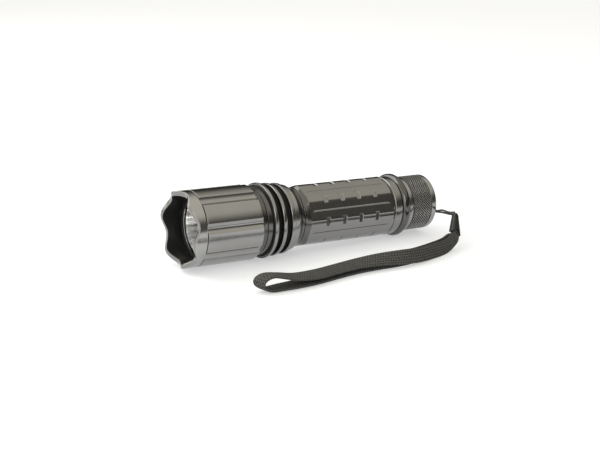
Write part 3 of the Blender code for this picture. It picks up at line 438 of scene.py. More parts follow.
def webbing_finish(settings):
    """Flat woven tape: columns of slanting stitches along its length, leaning one way then the other.

    The UV map holds millimetres across and along. A column's stitches are a sine along the tape whose
    phase shifts with the distance from the column's middle, and the columns themselves are a rounded wave.
    """
    finish = Finish("webbing").set(Roughness=0.8, Specular_IOR_Level=0.3)
    across, along = finish.map_axes()
    pitch = settings.rib_pitch * 1000
    stitch_length, lean = pitch * 1.1, 0.9
    column = finish.math("PINGPONG", across, pitch)
    crest = finish.math("SINE", finish.math("MULTIPLY", column, np.pi / pitch))
    slant = finish.math("ADD", along, finish.math("MULTIPLY", column, lean))
    stitch = finish.math("SINE", finish.math("MULTIPLY", slant, 2 * np.pi / stitch_length))
    height = finish.math("MULTIPLY", finish.spread(stitch, 0.3, 1.0), finish.math("POWER", crest, 0.6))
    # Painted shade between the stitches and painted highlight on their tops, varied at random
    weave_shade = finish.math("MULTIPLY", height, finish.spread(finish.noise(500.0), 0.55, 1.25))
    colour = tuple(settings.strap_colour)
    finish.drive("Base Color", finish.blend(weave_shade, shade(colour, 0.12), shade(colour, 2.4)))
    finish.bump(height, 0.00022, 0.8)
    return finish.material


def string_finish(settings):
    """Thin braided cord: two sets of slanting strands cross on its UV map of turns round and millimetres
    along, and the higher of the two shows."""
    finish = Finish("braided_string").set(Roughness=0.7)
    strands, strand_length = 2, 0.8
    turn, along = finish.map_axes()
    turn = finish.math("MULTIPLY", turn, strands * 2 * np.pi)
    along = finish.math("MULTIPLY", along, 2 * np.pi / strand_length)
    left = finish.math("SINE", finish.math("ADD", along, turn))
    right = finish.math("SINE", finish.math("SUBTRACT", along, turn))
    height = finish.spread(finish.math("MAXIMUM", left, right), 0.0, 1.0)
    colour = tuple(settings.strap_colour)
    # Painted shade between the strands and painted highlight on their tops
    finish.drive("Base Color", finish.blend(height, shade(colour, 0.5), shade(colour, 1.6)))
    finish.bump(height, 0.00008, 0.8)
    return finish.material


# Settings


class FlashlightSettings(bpy.types.PropertyGroup):
    """Sizes and colours that a user would change."""

    body_colour: FloatVectorProperty(
        name="Body colour", description="Reflected colour of the black anodised metal", subtype="COLOR",
        size=3, min=0.0, max=1.0, default=(0.310, 0.308, 0.304))
    body_roughness: FloatProperty(
        name="Body roughness", description="Roughness of the anodised metal", subtype="FACTOR",
        min=0.05, max=1.0, default=0.19)
    scallop_depth: FloatProperty(
        name="Scallop depth", description="How far the bezel's rim is cut back between its lobes",
        unit="LENGTH", subtype="DISTANCE", min=0.0, max=0.004, default=0.0029)
    flute_depth: FloatProperty(
        name="Flute depth", description="Depth of the flutes along the head",
        unit="LENGTH", subtype="DISTANCE", min=0.0, max=0.0016, default=0.0014)
    notch_depth: FloatProperty(
        name="Notch depth", description="Depth of the notches across the barrel's corners",
        unit="LENGTH", subtype="DISTANCE", min=0.0, max=0.001, default=0.0005)
    knurl_count: IntProperty(
        name="Knurl count", description="Knurl grooves of one hand round the tail cap",
        min=24, max=120, default=64)
    knurl_depth: FloatProperty(
        name="Knurl depth", description="Depth of the tail cap's diamond knurl",
        unit="LENGTH", subtype="DISTANCE", min=0.0, max=0.0006, default=0.0004)
    strap_colour: FloatVectorProperty(
        name="Strap colour", description="Colour of the webbing and the string", subtype="COLOR",
        size=3, min=0.0, max=1.0, default=(0.076, 0.076, 0.073))
    rib_pitch: FloatProperty(
        name="Rib pitch", description="Width of one woven column of the webbing",
        unit="LENGTH", subtype="DISTANCE", min=0.0004, max=0.003, default=0.0013)
    floor_colour: FloatVectorProperty(
        name="Floor colour", description="Colour of the floor", subtype="COLOR",
        size=3, min=0.0, max=1.0, default=(0.65, 0.668, 0.71))
    lamp_power: FloatProperty(
        name="Lamp power", description="Power of the soft lamp overhead", unit="POWER", min=0.0, default=4.8)


# Pieces


class FLASHLIGHT_OT_bezel_ring(bpy.types.Operator):
    """Bezel with a six-lobed crown: an outline swept round the axis, whose front is set back between the
    lobes by a cosine that fades out behind the rim"""

    bl_idname = "flashlight.bezel_ring"
    bl_label = "Bezel ring"

    def execute(self, context):
        settings = context.scene.flashlight
        depth = settings.scallop_depth * 1000
        chamfer, fade = 0.4, 6.0
        outline = [(0, HEAD_RADIUS - chamfer), (chamfer, HEAD_RADIUS), (BEZEL_SHOULDER, HEAD_RADIUS),
                   (BEZEL_SHOULDER, SKIRT_RADIUS), (SKIRT_END, SKIRT_RADIUS), (SKIRT_END, SKIRT_BORE),
                   (POCKET, SKIRT_BORE), (POCKET, LIP_RADIUS), (LIP, LIP_RADIUS),
                   (chamfer, MOUTH_RADIUS), (0, MOUTH_RADIUS + chamfer)]
        sizes = [0.3, 0.3, 0.25, 0.2, 0.2, 0.2, 0.1, 0.1, 0.3, 0.3, 0.3]

        def crown(station, radius, angle):
            cut = depth * (1 - np.cos(LOBES * (angle - CROWN_CLOCK))) / 2
            return station + cut * (1 - np.clip(station / fade, 0, 1)), radius

        profile = subdivide(fillet(outline, sizes), 0.7)
        # The rim's front takes the third finish, a darker copy of the anodising as painted shade, and the
        # inside and the skirt the second, nearly black painted shade
        inner = np.where(profile[:, 0] < chamfer - 0.05, 2, profile[:, 1] < MOUTH_RADIUS + 0.3)
        piece = mesh_piece("bezel_ring_crowned", turned(profile, around(288), crown), inner=inner)
        finishes = (anodised_finish("bezel_anodising", settings, 1.2, 0.18),
                    painted_shade_finish("bezel_painted_shade"), anodised_finish("rim_shaded_anodising", settings, 0.8))
        dress(piece, finishes, "bezel", "black_anodised", "bezel_ring")
        return {"FINISHED"}


class FLASHLIGHT_OT_optics(bpy.types.Operator):
    """Lens disc and reflector: the bowl is the parabola through its mouth and throat, swept round the
    axis"""

    bl_idname = "flashlight.optics"
    bl_label = "Lens and reflector"

    def execute(self, context):
        disc = [(LENS_FRONT, 0), (LENS_FRONT, LENS_RADIUS), (LENS_REAR, LENS_RADIUS), (LENS_REAR, 0)]
        rim = fillet(disc, [0, 0.25, 0.25, 0])
        lens = mesh_piece("lens_disc", turned(subdivide(rim, 2.0), around(160)))
        dress(lens, glass_finish(), "head", "lens_glass", "lens")
        mouth, throat, wall, flange_depth = 14.4, 3.4, 0.9, 1.4
        focal = (mouth ** 2 - throat ** 2) / (4 * (REFLECTOR_REAR - REFLECTOR_FRONT))
        apex = REFLECTOR_REAR + throat ** 2 / (4 * focal)
        station = np.linspace(REFLECTOR_REAR, REFLECTOR_FRONT, 40)
        bowl = np.stack([station, np.sqrt(4 * focal * (apex - station))], axis=1)
        flange_rear = REFLECTOR_FRONT + flange_depth
        back = bowl[::-1][bowl[::-1][:, 0] > flange_rear] + [0, wall]
        flange = [(REFLECTOR_FRONT, LENS_RADIUS), (flange_rear, LENS_RADIUS)]
        profile = np.concatenate([bowl, flange, back])
        piece = mesh_piece("reflector_bowl", turned(profile, around(160)))
        dress(piece, mirror_finish(), "head", "mirror_coat", "reflector")
        return {"FINISHED"}


class FLASHLIGHT_OT_head_shell(bpy.types.Operator):
    """Fluted head: an outline swept round the axis, its radius lowered by a parabola across each flute"""

    bl_idname = "flashlight.head_shell"
    bl_label = "Head shell"

    def execute(self, context):
        settings = context.scene.flashlight
        depth = settings.flute_depth * 1000
        edge, pitch = np.radians(7.9), 2 * np.pi / FLUTES
        slope, bore_end = 0.9, SPIGOT - 0.3
        outline = [(HEAD_FRONT, HEAD_RADIUS), (PANEL_END - slope, HEAD_RADIUS), (PANEL_END, NECK_RADIUS),
                   (HEAD_END, NECK_RADIUS), (HEAD_END, NECK_BORE), (bore_end, NECK_BORE),
                   (bore_end, HEAD_BORE), (LENS_SEAT_REAR, HEAD_BORE), (LENS_SEAT_REAR, LENS_SEAT),
                   (REFLECTOR_FRONT, LENS_SEAT), (REFLECTOR_FRONT, SKIRT_SOCKET), (HEAD_FRONT, SKIRT_SOCKET)]
        sizes = [0.25, 0.35, 0.3, 0.2] + [0.1] * 8

        def flute(station, radius, angle):
            from_middle = from_nearest(angle, FLUTES, FLUTE_CLOCK)
            cut = depth * np.clip(1 - (from_middle / edge) ** 2, 0, 1)
            cut_radius = np.minimum(radius, HEAD_RADIUS - cut)
            return station, np.where(radius > HEAD_RADIUS - depth, cut_radius, radius)

        pattern = np.concatenate([np.linspace(-edge, edge, 24, endpoint=False),
                                  np.linspace(edge, pitch - edge, 20, endpoint=False)])
        angles = repeated(pattern, FLUTES, FLUTE_CLOCK)
        profile = subdivide(fillet(outline, sizes), 2.0)
        # The neck takes the second finish, a darker copy of the anodising as painted shade in the recess
        inner = (profile[:, 0] > PANEL_END - 0.1) & (profile[:, 1] < NECK_RADIUS + 0.1)
        piece = mesh_piece("head_shell_fluted", turned(profile, angles, flute), inner=inner)
        finishes = (anodised_finish("head_anodising", settings),
                    anodised_finish("neck_shaded_anodising", settings, 0.4, 0.18))
        dress(piece, finishes, "head", "black_anodised", "head_shell")
        return {"FINISHED"}


class FLASHLIGHT_OT_heat_sink(bpy.types.Operator):
    """Neck, three round-edged fins, collar and cone, as one outline swept round the axis"""

    bl_idname = "flashlight.heat_sink"
    bl_label = "Heat sink"

    def execute(self, context):
        settings = context.scene.flashlight
        outline = [(SPIGOT, SPIGOT_BORE), (SPIGOT, SPIGOT_RADIUS), (SINK_FRONT, SPIGOT_RADIUS),
                   (SINK_FRONT, NECK_RADIUS)]
        sizes = [0.1, 0.1, 0.1, 0.2]
        roots = [NECK_RADIUS, FIN_ROOT, FIN_ROOT]
        for start, radius, root in zip(FIN_STARTS, FIN_RADII, roots):
            rear = start + FIN_WIDTH
            outline += [(start, root), (start, radius), (rear, radius), (rear, FIN_ROOT)]
            sizes += [0.4, 0.95, 0.95, 0.5]
        # The last fin's rear runs straight into the collar
        outline[-1] = (COLLAR, COLLAR_RADIUS - 0.4)
        outline += [(COLLAR + 0.5, COLLAR_RADIUS), (CONE, COLLAR_RADIUS), (WAIST, WAIST_RADIUS),
                    (SINK_END, WAIST_RADIUS), (SINK_END, SPIGOT_RADIUS), (SHELF_REAR, SPIGOT_RADIUS),
                    (SHELF_REAR, SHELF_BORE), (SHELF_FRONT, SHELF_BORE), (SHELF_FRONT, SPIGOT_BORE)]
        sizes += [0.3, 0.8, 0.6, 0.15] + [0.1] * 5
        profile = subdivide(fillet(outline, sizes, 6), 3.0)
        # Below a fin's crest the second finish shows, nearly black painted shade in the gaps, and on the
        # neck and the cone the third, a darker copy of the anodising as painted shade
        crest = np.array([NECK_RADIUS + 0.6, *(FIN_RADII - 0.3), 0])
        crest = crest[np.searchsorted([FIN_STARTS[0], *(FIN_STARTS[1:] - 1.4), COLLAR], profile[:, 0])]
        shaded_rows = (profile[:, 0] > CONE - 0.3) | (profile[:, 0] < FIN_STARTS[0] - 0.5)
        inner = np.where(shaded_rows, 2, profile[:, 1] < crest)
        piece = mesh_piece("heat_sink_finned", turned(profile, around(240)), inner=inner)
        finishes = (anodised_finish("fin_anodising", settings, 0.9, 0.2), painted_shade_finish("fin_painted_shade"),
                    anodised_finish("cone_shaded_anodising", settings, 0.45, 0.18))
        dress(piece, finishes, "head", "black_anodised", "heat_sink")
        return {"FINISHED"}


class FLASHLIGHT_OT_barrel(bpy.types.Operator):
    """Octagonal barrel: the radius at an angle is one over a soft maximum of cosine over apothem for the
    eight sides and one over the radius of the narrow round corners, lowered at the corner notches and
    along a line in each side"""

    bl_idname = "flashlight.barrel"
    bl_label = "Barrel"

    def execute(self, context):
        settings = context.scene.flashlight
        notch_floor = CORNER_RADIUS - 0.03 - settings.notch_depth * 1000
        # The outline's radius along the body, outside every side and corner
        blank = 16.0
        outline = [(NOSE_FRONT, BARREL_BORE), (NOSE_FRONT, FRONT_NOSE), (FRONT_GROOVE[0], FRONT_NOSE),
                   (FRONT_GROOVE[0], FRONT_GROOVE_FLOOR), (FRONT_GROOVE[1], FRONT_GROOVE_FLOOR),
                   (FRONT_GROOVE[1], FRONT_NOSE), (BARREL_FRONT, FRONT_NOSE), (BARREL_FRONT, WAIST_RADIUS),
                   (FRONT_CONE, WAIST_RADIUS), (BODY_START, blank), (BODY_END, blank),
                   (REAR_CONE, WAIST_RADIUS), (RING_FRONT, END_RING), (BARREL_END, END_RING),
                   (BARREL_END, REAR_NOSE), (REAR_GROOVE[0], REAR_NOSE), (REAR_GROOVE[0], REAR_GROOVE_FLOOR),
                   (REAR_GROOVE[1], REAR_GROOVE_FLOOR), (REAR_GROOVE[1], REAR_NOSE),
                   (REAR_NOSE_END, REAR_NOSE), (REAR_NOSE_END, BARREL_BORE)]
        sizes = [0.1] * 7 + [0.2, 0.2, 0.25, 0.25, 0.2, 0.2, 0.35] + [0.1] * 7
        notch_middle, notch_pitch, notch_half, notch_wall = 92.4, 10.0, 1.2, 0.2
        line_half, line_depth, line_start, line_end, line_fade = 0.3, 0.22, 69.0, 115.8, 0.6
        notches = notch_middle + notch_pitch * (np.arange(4) - 1.5)
        sector, hardness = 2 * np.pi / SIDES, 300

        def octagon(station, radius, angle):
            from_corner = from_nearest(angle, SIDES, CORNER_CLOCK)
            from_side = sector / 2 - np.abs(from_corner)
            walls = np.stack([0 * from_corner + SIDE_APOTHEM / CORNER_RADIUS, np.cos(from_side),
                              np.cos(sector - from_side)])
            limit = SIDE_APOTHEM / (walls ** hardness).sum(axis=0) ** (1 / hardness)
            near = np.abs(station[..., None] - notches).min(axis=-1)
            inside = smooth_step((notch_half - near) / notch_wall)
            limit = limit - inside * np.maximum(0, limit - notch_floor / np.cos(from_corner))
            line = np.clip(1 - from_side * SIDE_APOTHEM / line_half, 0, 1)
            starts = smooth_step((station - line_start) / line_fade)
            ends = smooth_step((line_end - station) / line_fade)
            limit = limit - line_depth * line * (starts * ends)
            body = (radius > FRONT_NOSE + 0.3) & (station < REAR_CONE + 0.05)
            return station, np.where(body, np.minimum(radius, limit), radius)

        profile = fillet(outline, sizes)
        at_notches = (notches[:, None] + np.linspace(-1.3, 1.3, 15)[None, :]).ravel()
        fine = np.unique(np.concatenate([np.linspace(BODY_START + 0.2, BODY_END - 0.2, 64), at_notches]))
        fine = fine[(fine > BODY_START + 0.3) & (fine < BODY_END - 0.3)]
        at_start = (profile[:, 0] > BODY_START - 0.1) & (profile[:, 0] < BODY_START + 0.4)
        last = np.flatnonzero(at_start & (profile[:, 1] > WAIST_RADIUS + 0.2))[-1]
        profile = np.concatenate([profile[:last + 1], level_rows(fine, blank), profile[last + 1:]])
        # Degrees from a corner's middle to the middle of a side, closest at the edges between them
        edges = np.array([0, 2.2, 4.0, 4.34, 4.9, 6.5, 8.6, 8.91, 9.4, 12.0, 15.0, 18.5, 21.0, 21.7, 22.1])
        pattern = np.radians(np.concatenate([-edges[:0:-1], edges, [22.5]]))
        angles = repeated(pattern, SIDES, CORNER_CLOCK)
        # Rows below the waist's radius take the second finish, a darker copy of the anodising as painted
        # shade
        piece = mesh_piece("barrel_octagonal", turned(profile, angles, octagon), sharp=14.0,
                           inner=profile[:, 1] < WAIST_RADIUS + 0.15)
        finishes = (anodised_finish("barrel_anodising", settings, 0.8),
                    anodised_finish("waist_shaded_anodising", settings, 0.45, 0.18))
        dress(piece, finishes, "barrel_body", "black_anodised", "barrel")
        return {"FINISHED"}


class FLASHLIGHT_OT_tail_cap(bpy.types.Operator):
    """Tail cap: an outline swept round the axis, with a diamond knurl cut by two crossing sets of grooves
    and a pit where the lanyard tunnel opens in the rear rim"""

    bl_idname = "flashlight.tail_cap"
    bl_label = "Tail cap"

    def execute(self, context):
        settings = context.scene.flashlight
        seam, chamfer = 0.4, 0.7
        groove, knurl_end = CAP_RADIUS - seam, CAP_END_RING - seam
        outline = [(CAP_FRONT, CAP_THREAD), (CAP_FRONT, 15.2), (124.9, 16.1), (125.8, FLANGE_RADIUS),
                   (127.2, FLANGE_RADIUS), (128.2, 15.8), (BAND, groove), (BAND + seam, groove),
                   (BAND + seam, CAP_RADIUS), (KNURL - seam, CAP_RADIUS), (KNURL - seam, groove),
                   (KNURL, groove), (KNURL, CAP_RADIUS), (knurl_end, CAP_RADIUS), (knurl_end, groove),
                   (CAP_END_RING, groove), (CAP_END_RING, CAP_RADIUS), (CAP_END - chamfer, CAP_RADIUS),
                   (CAP_END, CAP_RADIUS - chamfer), (CAP_END, RECESS_RADIUS), (RECESS, RECESS_RADIUS),
                   (RECESS, BUTTON_HOLE), (CAP_CAVITY_END, BUTTON_HOLE), (CAP_CAVITY_END, CAP_BORE),
                   (CAP_CAVITY, CAP_BORE), (CAP_CAVITY, CAP_THREAD)]
        sizes = [0.1, 0.3, 0.4, 0.6, 0.6, 0.6, 0.2, 0.1, 0.2, 0.2, 0.1, 0.1, 0.1, 0.1, 0.1, 0.1, 0.15, 0.5,
                 0.5, 0.3, 0.3, 0.1, 0.1, 0.1, 0.1, 0.1]
        count, depth = settings.knurl_count, settings.knurl_depth * 1000
        pitch, groove_half = 2 * np.pi * CAP_RADIUS / count, 0.22
        pit_radius, pit_wall, pit_middle, pit_depth, pit_lean = 0.95, 0.25, 12.4, 1.2, 1.0

        def in_knurl(rows):
            return (rows[:, 0] > KNURL) & (rows[:, 0] < knurl_end) & (rows[:, 1] > CAP_RADIUS - 0.1)

        def knurled(station, radius, angle):
            turn, along = angle * count / (2 * np.pi), station / pitch
            near = [np.abs((turn + sign * along + 0.5) % 1 - 0.5) for sign in (1, -1)]
            cut = np.maximum(*[np.clip(1 - distance / groove_half, 0, 1) for distance in near])
            inside = (station > KNURL + 0.05) & (station < knurl_end - 0.05) & (radius > CAP_RADIUS - 0.01)
            radius = radius - np.where(inside, depth * cut, 0.0)
            side = radius * from_nearest(angle, 1, TUNNEL_CLOCK)
            pit = smooth_step((pit_radius - np.hypot(side, radius - pit_middle)) / pit_wall)
            pit = pit * (station > CAP_END - 0.05)
            return station - pit_depth * pit, radius - pit_lean * pit

        profile = fillet(outline, sizes, 3)
        profile = subdivide(profile, np.where(profile[:, 0] > CAP_END - 0.1, 0.45, 1.2))
        first, last = np.flatnonzero(in_knurl(profile))[[0, -1]]
        knurl_rows = level_rows(np.linspace(KNURL + 0.2, knurl_end - 0.2, 58), CAP_RADIUS)
        profile = np.concatenate([profile[:first], knurl_rows, profile[last + 1:]])
        angles = around(512)
        zone = in_knurl(profile)[:, None]
        uv = np.stack([np.where(zone, angles * count / (2 * np.pi), 0.5),
                       np.where(zone, profile[:, :1] / pitch, 0.0) + 0 * angles], axis=-1)
        # The flange takes the second finish, a darker copy of the anodising as painted shade, and the floors
        # of the seams the third, nearly black painted shade
        outside = (profile[:, 1] > groove - 0.5) & (profile[:, 0] > BAND - 0.3)
        outside = outside & (profile[:, 0] < CAP_END_RING + 0.1)
        inner = np.where(outside & (profile[:, 1] < groove + 0.2), 2, profile[:, 0] < BAND)
        grid = turned(profile, angles, knurled)
        piece = mesh_piece("tail_cap_knurled", grid, uv=uv, sharp=32.0, inner=inner)
        finishes = (knurl_finish("tail_anodising", settings),
                    anodised_finish("flange_shaded_anodising", settings, 0.4, 0.17), painted_shade_finish("tail_painted_shade"))
        dress(piece, finishes, "tail", "black_anodised", "tail_cap")
        return {"FINISHED"}


class FLASHLIGHT_OT_tail_button(bpy.types.Operator):
    """Rubber button: a domed outline with three shallow rings, swept round the axis"""

    bl_idname = "flashlight.tail_button"
    bl_label = "Tail button"

    def execute(self, context):
        top, fall, flat = CAP_END - 0.7, 1.6, 0.45
        ring_depth, ring_half, ring_pitches = 0.12, 0.2, 5
        radius = np.linspace(BUTTON_RADIUS, 0, 40)
        share = radius / BUTTON_RADIUS
        dome = top - fall * smooth_step((share - flat) / (1 - flat)) ** 1.5
        from_ring = np.abs((share * ring_pitches + 0.5) % 1 - 0.5)
        ringed = (share > 0.1) & (share < 0.75)
        rings = ring_depth * np.clip(1 - from_ring / ring_half, 0, 1) * ringed
        face = np.stack([dome - rings, radius], axis=1)
        profile = np.concatenate([[(BUTTON_FRONT, 0), (BUTTON_FRONT, BUTTON_RADIUS)], face])
        piece = mesh_piece("tail_button_dome", turned(profile, around(128)))
        finish = plain_finish("button_rubber", (0.022, 0.022, 0.023), 0.62, grain=2500.0)
        dress(piece, finish, "button", "black_rubber", "tail_button")
        return {"FINISHED"}


# Finish of each inner piece that keeps its CAD solid: colour, roughness, metallic
INNER_FINISHES = {
    "brass": ((0.72, 0.52, 0.20), 0.35, 1.0),
    "spring_steel": ((0.62, 0.62, 0.60), 0.30, 1.0),
    "black_rubber": ((0.020, 0.020, 0.021), 0.70, 0.0),
    "white_plastic": ((0.82, 0.82, 0.79), 0.45, 0.0),
    "board_green": ((0.05, 0.22, 0.10), 0.50, 0.0),
    "emitter_ceramic": ((0.88, 0.86, 0.80), 0.40, 0.0),
    "phosphor_dome": ((0.95, 0.80, 0.25), 0.15, 0.0),
    "cell_wrap": ((0.10, 0.22, 0.55), 0.40, 0.0),
}


class FLASHLIGHT_OT_inner_pieces(bpy.types.Operator):
    """Procedural finishes for the pieces inside the light, which keep their solids; the return spring gets a
    mesh of its own"""

    bl_idname = "flashlight.inner_pieces"
    bl_label = "Inner pieces"

    def execute(self, context):
        finishes = {slot: plain_finish("inner_" + slot, *look) for slot, look in INNER_FINISHES.items()}
        for entry in frame["record"]["subparts"]:
            if entry["material_slot"] in finishes:
                node = frame["nodes"][entry["node"]]
                for holder in node.material_slots:
                    holder.material = finishes[entry["material_slot"]]
        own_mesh(frame["nodes"]["return_spring"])
        return {"FINISHED"}


# Lanyard


def crimp_directions():
    """Unit vectors along the crimp, across its width and through its depth."""
    along = unit(CRIMP_MOUTH - CRIMP_TOP)
    across = unit(CRIMP_ACROSS - along * (CRIMP_ACROSS @ along))
    return along, across, np.cross(along, across)


class FLASHLIGHT_OT_crimp(bpy.types.Operator):
    """Crimped ferrule: rounded rectangles along its axis, widening from the string to the strap, with its
    mouth cut back between two prongs"""

    bl_idname = "flashlight.crimp"
    bl_label = "Lanyard crimp"

    def execute(self, context):
        along, across, through = crimp_directions()
        length = np.linalg.norm(CRIMP_MOUTH - CRIMP_TOP)
        floor, cut_back = length - 3.0, 2.6
        # Distance from the top, width, depth and share of the cut of each section, outside then inside
        section = np.array([
            (0.0, 0.0, 0.0, 0), (0.0, 1.6, 1.4, 0), (0.0, 2.4, 2.1, 0), (0.25, 2.9, 2.6, 0),
            (0.6, 3.1, 2.7, 0), (2.2, 3.6, 2.85, 0), (2.35, 3.4, 2.65, 0), (2.7, 3.45, 2.7, 0),
            (2.85, 3.8, 2.9, 0), (6.0, 4.7, 3.2, 0.1), (9.0, 5.6, 3.5, 0.45), (length - 0.9, 6.3, 3.65, 0.9),
            (length - 0.2, 6.6, 3.7, 1), (length, 6.4, 3.5, 1), (length, 5.8, 2.9, 1),
            (length - 0.2, 5.6, 2.7, 1), (floor, 5.6, 2.7, 0), (floor, 0, 0, 0)])
        turn = around(64)[None, :]
        wide, deep = rounded(np.cos(turn), 0.5), rounded(np.sin(turn), 0.5)
        reach = section[:, 0:1] - cut_back * section[:, 3:4] * (1 - np.abs(wide)) ** 0.8
        wide, deep = wide * section[:, 1:2] / 2, deep * section[:, 2:3] / 2
        grid = CRIMP_TOP + along * reach[..., None] + across * wide[..., None] + through * deep[..., None]
        piece = mesh_piece("lanyard_crimp_ferrule", grid)
        finish = plain_finish("crimp_enamel", (0.012, 0.012, 0.012), 0.38, grain=1500.0)
        dress(piece, finish, "tail", "black_anodised", "lanyard_crimp")
        return {"FINISHED"}


def string_route():
    """Points of the string, in millimetres: out of the crimp, through the tail cap's tunnel and back."""
    along, across = crimp_directions()[:2]
    above, apart, rise = 0.3, 0.9, 0.6
    top = CRIMP_TOP - along * above
    start, end, lift = top - across * apart, top + across * apart, -along * rise
    # Station from the cap's end, radius and angle from the tunnel
    tail = np.array([(1.3, 13.38, 0.0), (0.0, 12.38, 0.0), (-0.99, 11.39, 0.0), (-1.98, 10.4, 0.0),
                     (-1.9, 8.7, 0.0), (0.3, 8.8, 0.10), (2.2, 11.0, 0.15)])
    tail = on_axis_frame(CAP_END + tail[:, 0], tail[:, 1], TUNNEL_CLOCK + tail[:, 2])
    return np.concatenate([[start, start + lift, (73.7, -24.6, 14.8), (75.2, -16.7, 14.0)], tail,
                           [(75.9, -16.6, 12.6), (74.6, -25.0, 13.7), end + lift, end]])


def frames_along(path):
    """Two normals at each point of a path that lies close to one plane, the first of them in that plane."""
    tangent = unit(np.gradient(path, axis=0))
    plane = np.linalg.svd(path - path.mean(axis=0))[2][2]
    normal = unit(np.cross(tangent, plane))
    return normal, np.cross(tangent, normal)


class FLASHLIGHT_OT_string(bpy.types.Operator):
    """Thin string: a circle carried along the smooth curve through its route"""

    bl_idname = "flashlight.string"
    bl_label = "Lanyard string"

    def execute(self, context):
        path, reach = curve_through(string_route(), 180)
        normal, side = frames_along(path)
        turn = around(16)
        grid = path[:, None] + STRING_RADIUS * (np.cos(turn)[None, :, None] * normal[:, None]
                                                + np.sin(turn)[None, :, None] * side[:, None])
        uv = np.stack(np.broadcast_arrays(turn[None, :] / (2 * np.pi), reach[:, None]), axis=-1)
        piece = mesh_piece("lanyard_string_braid", grid, close_rows=False, uv=uv)
        dress(piece, string_finish(context.scene.flashlight), "tail", "black_webbing", "lanyard_string")
        return {"FINISHED"}


def strap_route():
    """Centre, direction across, width and thickness along the webbing: front ply, hairpin, back ply.

    Each station of the folded strap gives the middle between its plies; the plies lie half their distance
    to either side along the normal. On the floor the height follows from the roll from on edge to flat.
    """
    along, across = crimp_directions()[:2]
    width, thick = STRAP_WIDTH, STRAP_THICKNESS
    closed, floor_gap, bulge, bends = 1.45, 0.1, 1.7, 5
    # The stations in and near the crimp: middle, direction across, section, half the distance of the plies
    middle = [CRIMP_MOUTH - along * 2.7, CRIMP_MOUTH + along * 0.3, np.array([64.0, -40.1, 5.8])]
    sideways = [across, across, unit(np.array([0.50, -0.08, -0.86]))]
    section = [(5.0, 0.8), (5.0, 0.8), (width * 0.88, thick)]
    half = [0.65, 0.65, 0.95]
    # The stations on the floor: x, y, roll and slant in degrees, spread of the plies
    run = np.array([
        (56.0, -43.6, 0, 0, 0), (44.0, -48.2, 6, 0, 0), (33.0, -51.1, 16, 0, 0), (23.0, -51.5, 33, 0, 0),
        (11.0, -49.7, 54, 0, 0), (-1.0, -48.9, 68, 0, 0), (-13.5, -50.4, 72, 0, 0), (-26.5, -52.8, 71, 0, 0),
        (-38.0, -53.2, 78.5, 0, 0.5), (-46.0, -52.7, 82.5, 7, 1.4), (-51.5, -52.2, 86, 16, 2.0)])
    roll, slant, spread = np.radians(run[:, 2]), np.radians(run[:, 3]), closed + run[:, 4]
    height = floor_gap + width / 2 * np.cos(roll) + (spread + thick / 2) * np.sin(roll)
    middle = np.concatenate([middle, np.stack([run[:, 0], run[:, 1], height], axis=1)])
    sideways = np.concatenate([sideways, np.stack([
        np.sin(roll) * np.sin(slant), -np.sin(roll) * np.cos(slant), -np.cos(roll)], axis=1)])
    section = np.concatenate([section, np.full((len(run), 2), (width, thick))])
    half = np.concatenate([half, spread])[:, None]
    onward = np.empty_like(middle)
    onward[1:-1] = middle[2:] - middle[:-2]
    onward[0], onward[-1] = middle[1] - middle[0], middle[-1] - middle[-2]
    normal = unit(np.cross(onward, sideways))
    turn = np.pi * np.arange(1, bends + 1)[:, None] / (bends + 1)
    ahead = unit(onward[-1])
    bend_normal = unit(np.cross(ahead, sideways[-1]))
    hairpin = middle[-1] + half[-1] * (bend_normal * np.cos(turn) + ahead * np.sin(turn) * bulge)
    centre = np.concatenate([middle + normal * half, hairpin, (middle - normal * half)[::-1]])
    wide = np.concatenate([sideways, np.repeat(sideways[-1:], bends, 0), sideways[::-1]])
    size = np.concatenate([section, np.repeat(section[-1:], bends, 0), section[::-1]])
    return np.concatenate([centre, wide, size], axis=1)


class FLASHLIGHT_OT_strap(bpy.types.Operator):
    """Woven wrist strap: a flat rounded section carried along its folded route"""

    bl_idname = "flashlight.strap"
    bl_label = "Wrist strap"

    def execute(self, context):
        route, reach = curve_through(strap_route(), 420)
        centre, wide, size = route[:, :3], unit(route[:, 3:6]), route[:, 6:8]
        normal = unit(np.cross(np.gradient(centre, axis=0), wide))
        turn = around(36)[None, :]
        over = rounded(np.cos(turn), 0.55) * size[:, :1] / 2
        through = rounded(np.sin(turn), 0.45) * size[:, 1:] / 2
        grid = centre[:, None] + wide[:, None] * over[..., None] + normal[:, None] * through[..., None]
        steps = np.linalg.norm(np.diff(grid, axis=1), axis=2)
        girth = np.concatenate([np.zeros((len(centre), 1)), np.cumsum(steps, axis=1)], axis=1)
        uv = np.stack(np.broadcast_arrays(girth, reach[:, None]), axis=-1)
        piece = mesh_piece("wrist_strap_webbing", grid, close_rows=False, uv=uv, sharp=60.0)
        dress(piece, webbing_finish(context.scene.flashlight), "tail", "black_webbing", "wrist_strap")
        return {"FINISHED"}


# Stage


def area_lamp(name, place, size, power):
    """A soft rectangular lamp, in metres, that faces the light."""
    data = bpy.data.lights.new(name, "AREA")
    data.shape, data.size, data.size_y = "RECTANGLE", size[0], size[1]
    data.energy = power
    lamp = bpy.data.objects.new(name, data)
    lamp.location = place
    lamp.rotation_euler = (Vector(LAMP_TARGET) - Vector(place)).to_track_quat("-Z", "Y").to_euler()
    bpy.context.scene.collection.objects.link(lamp)


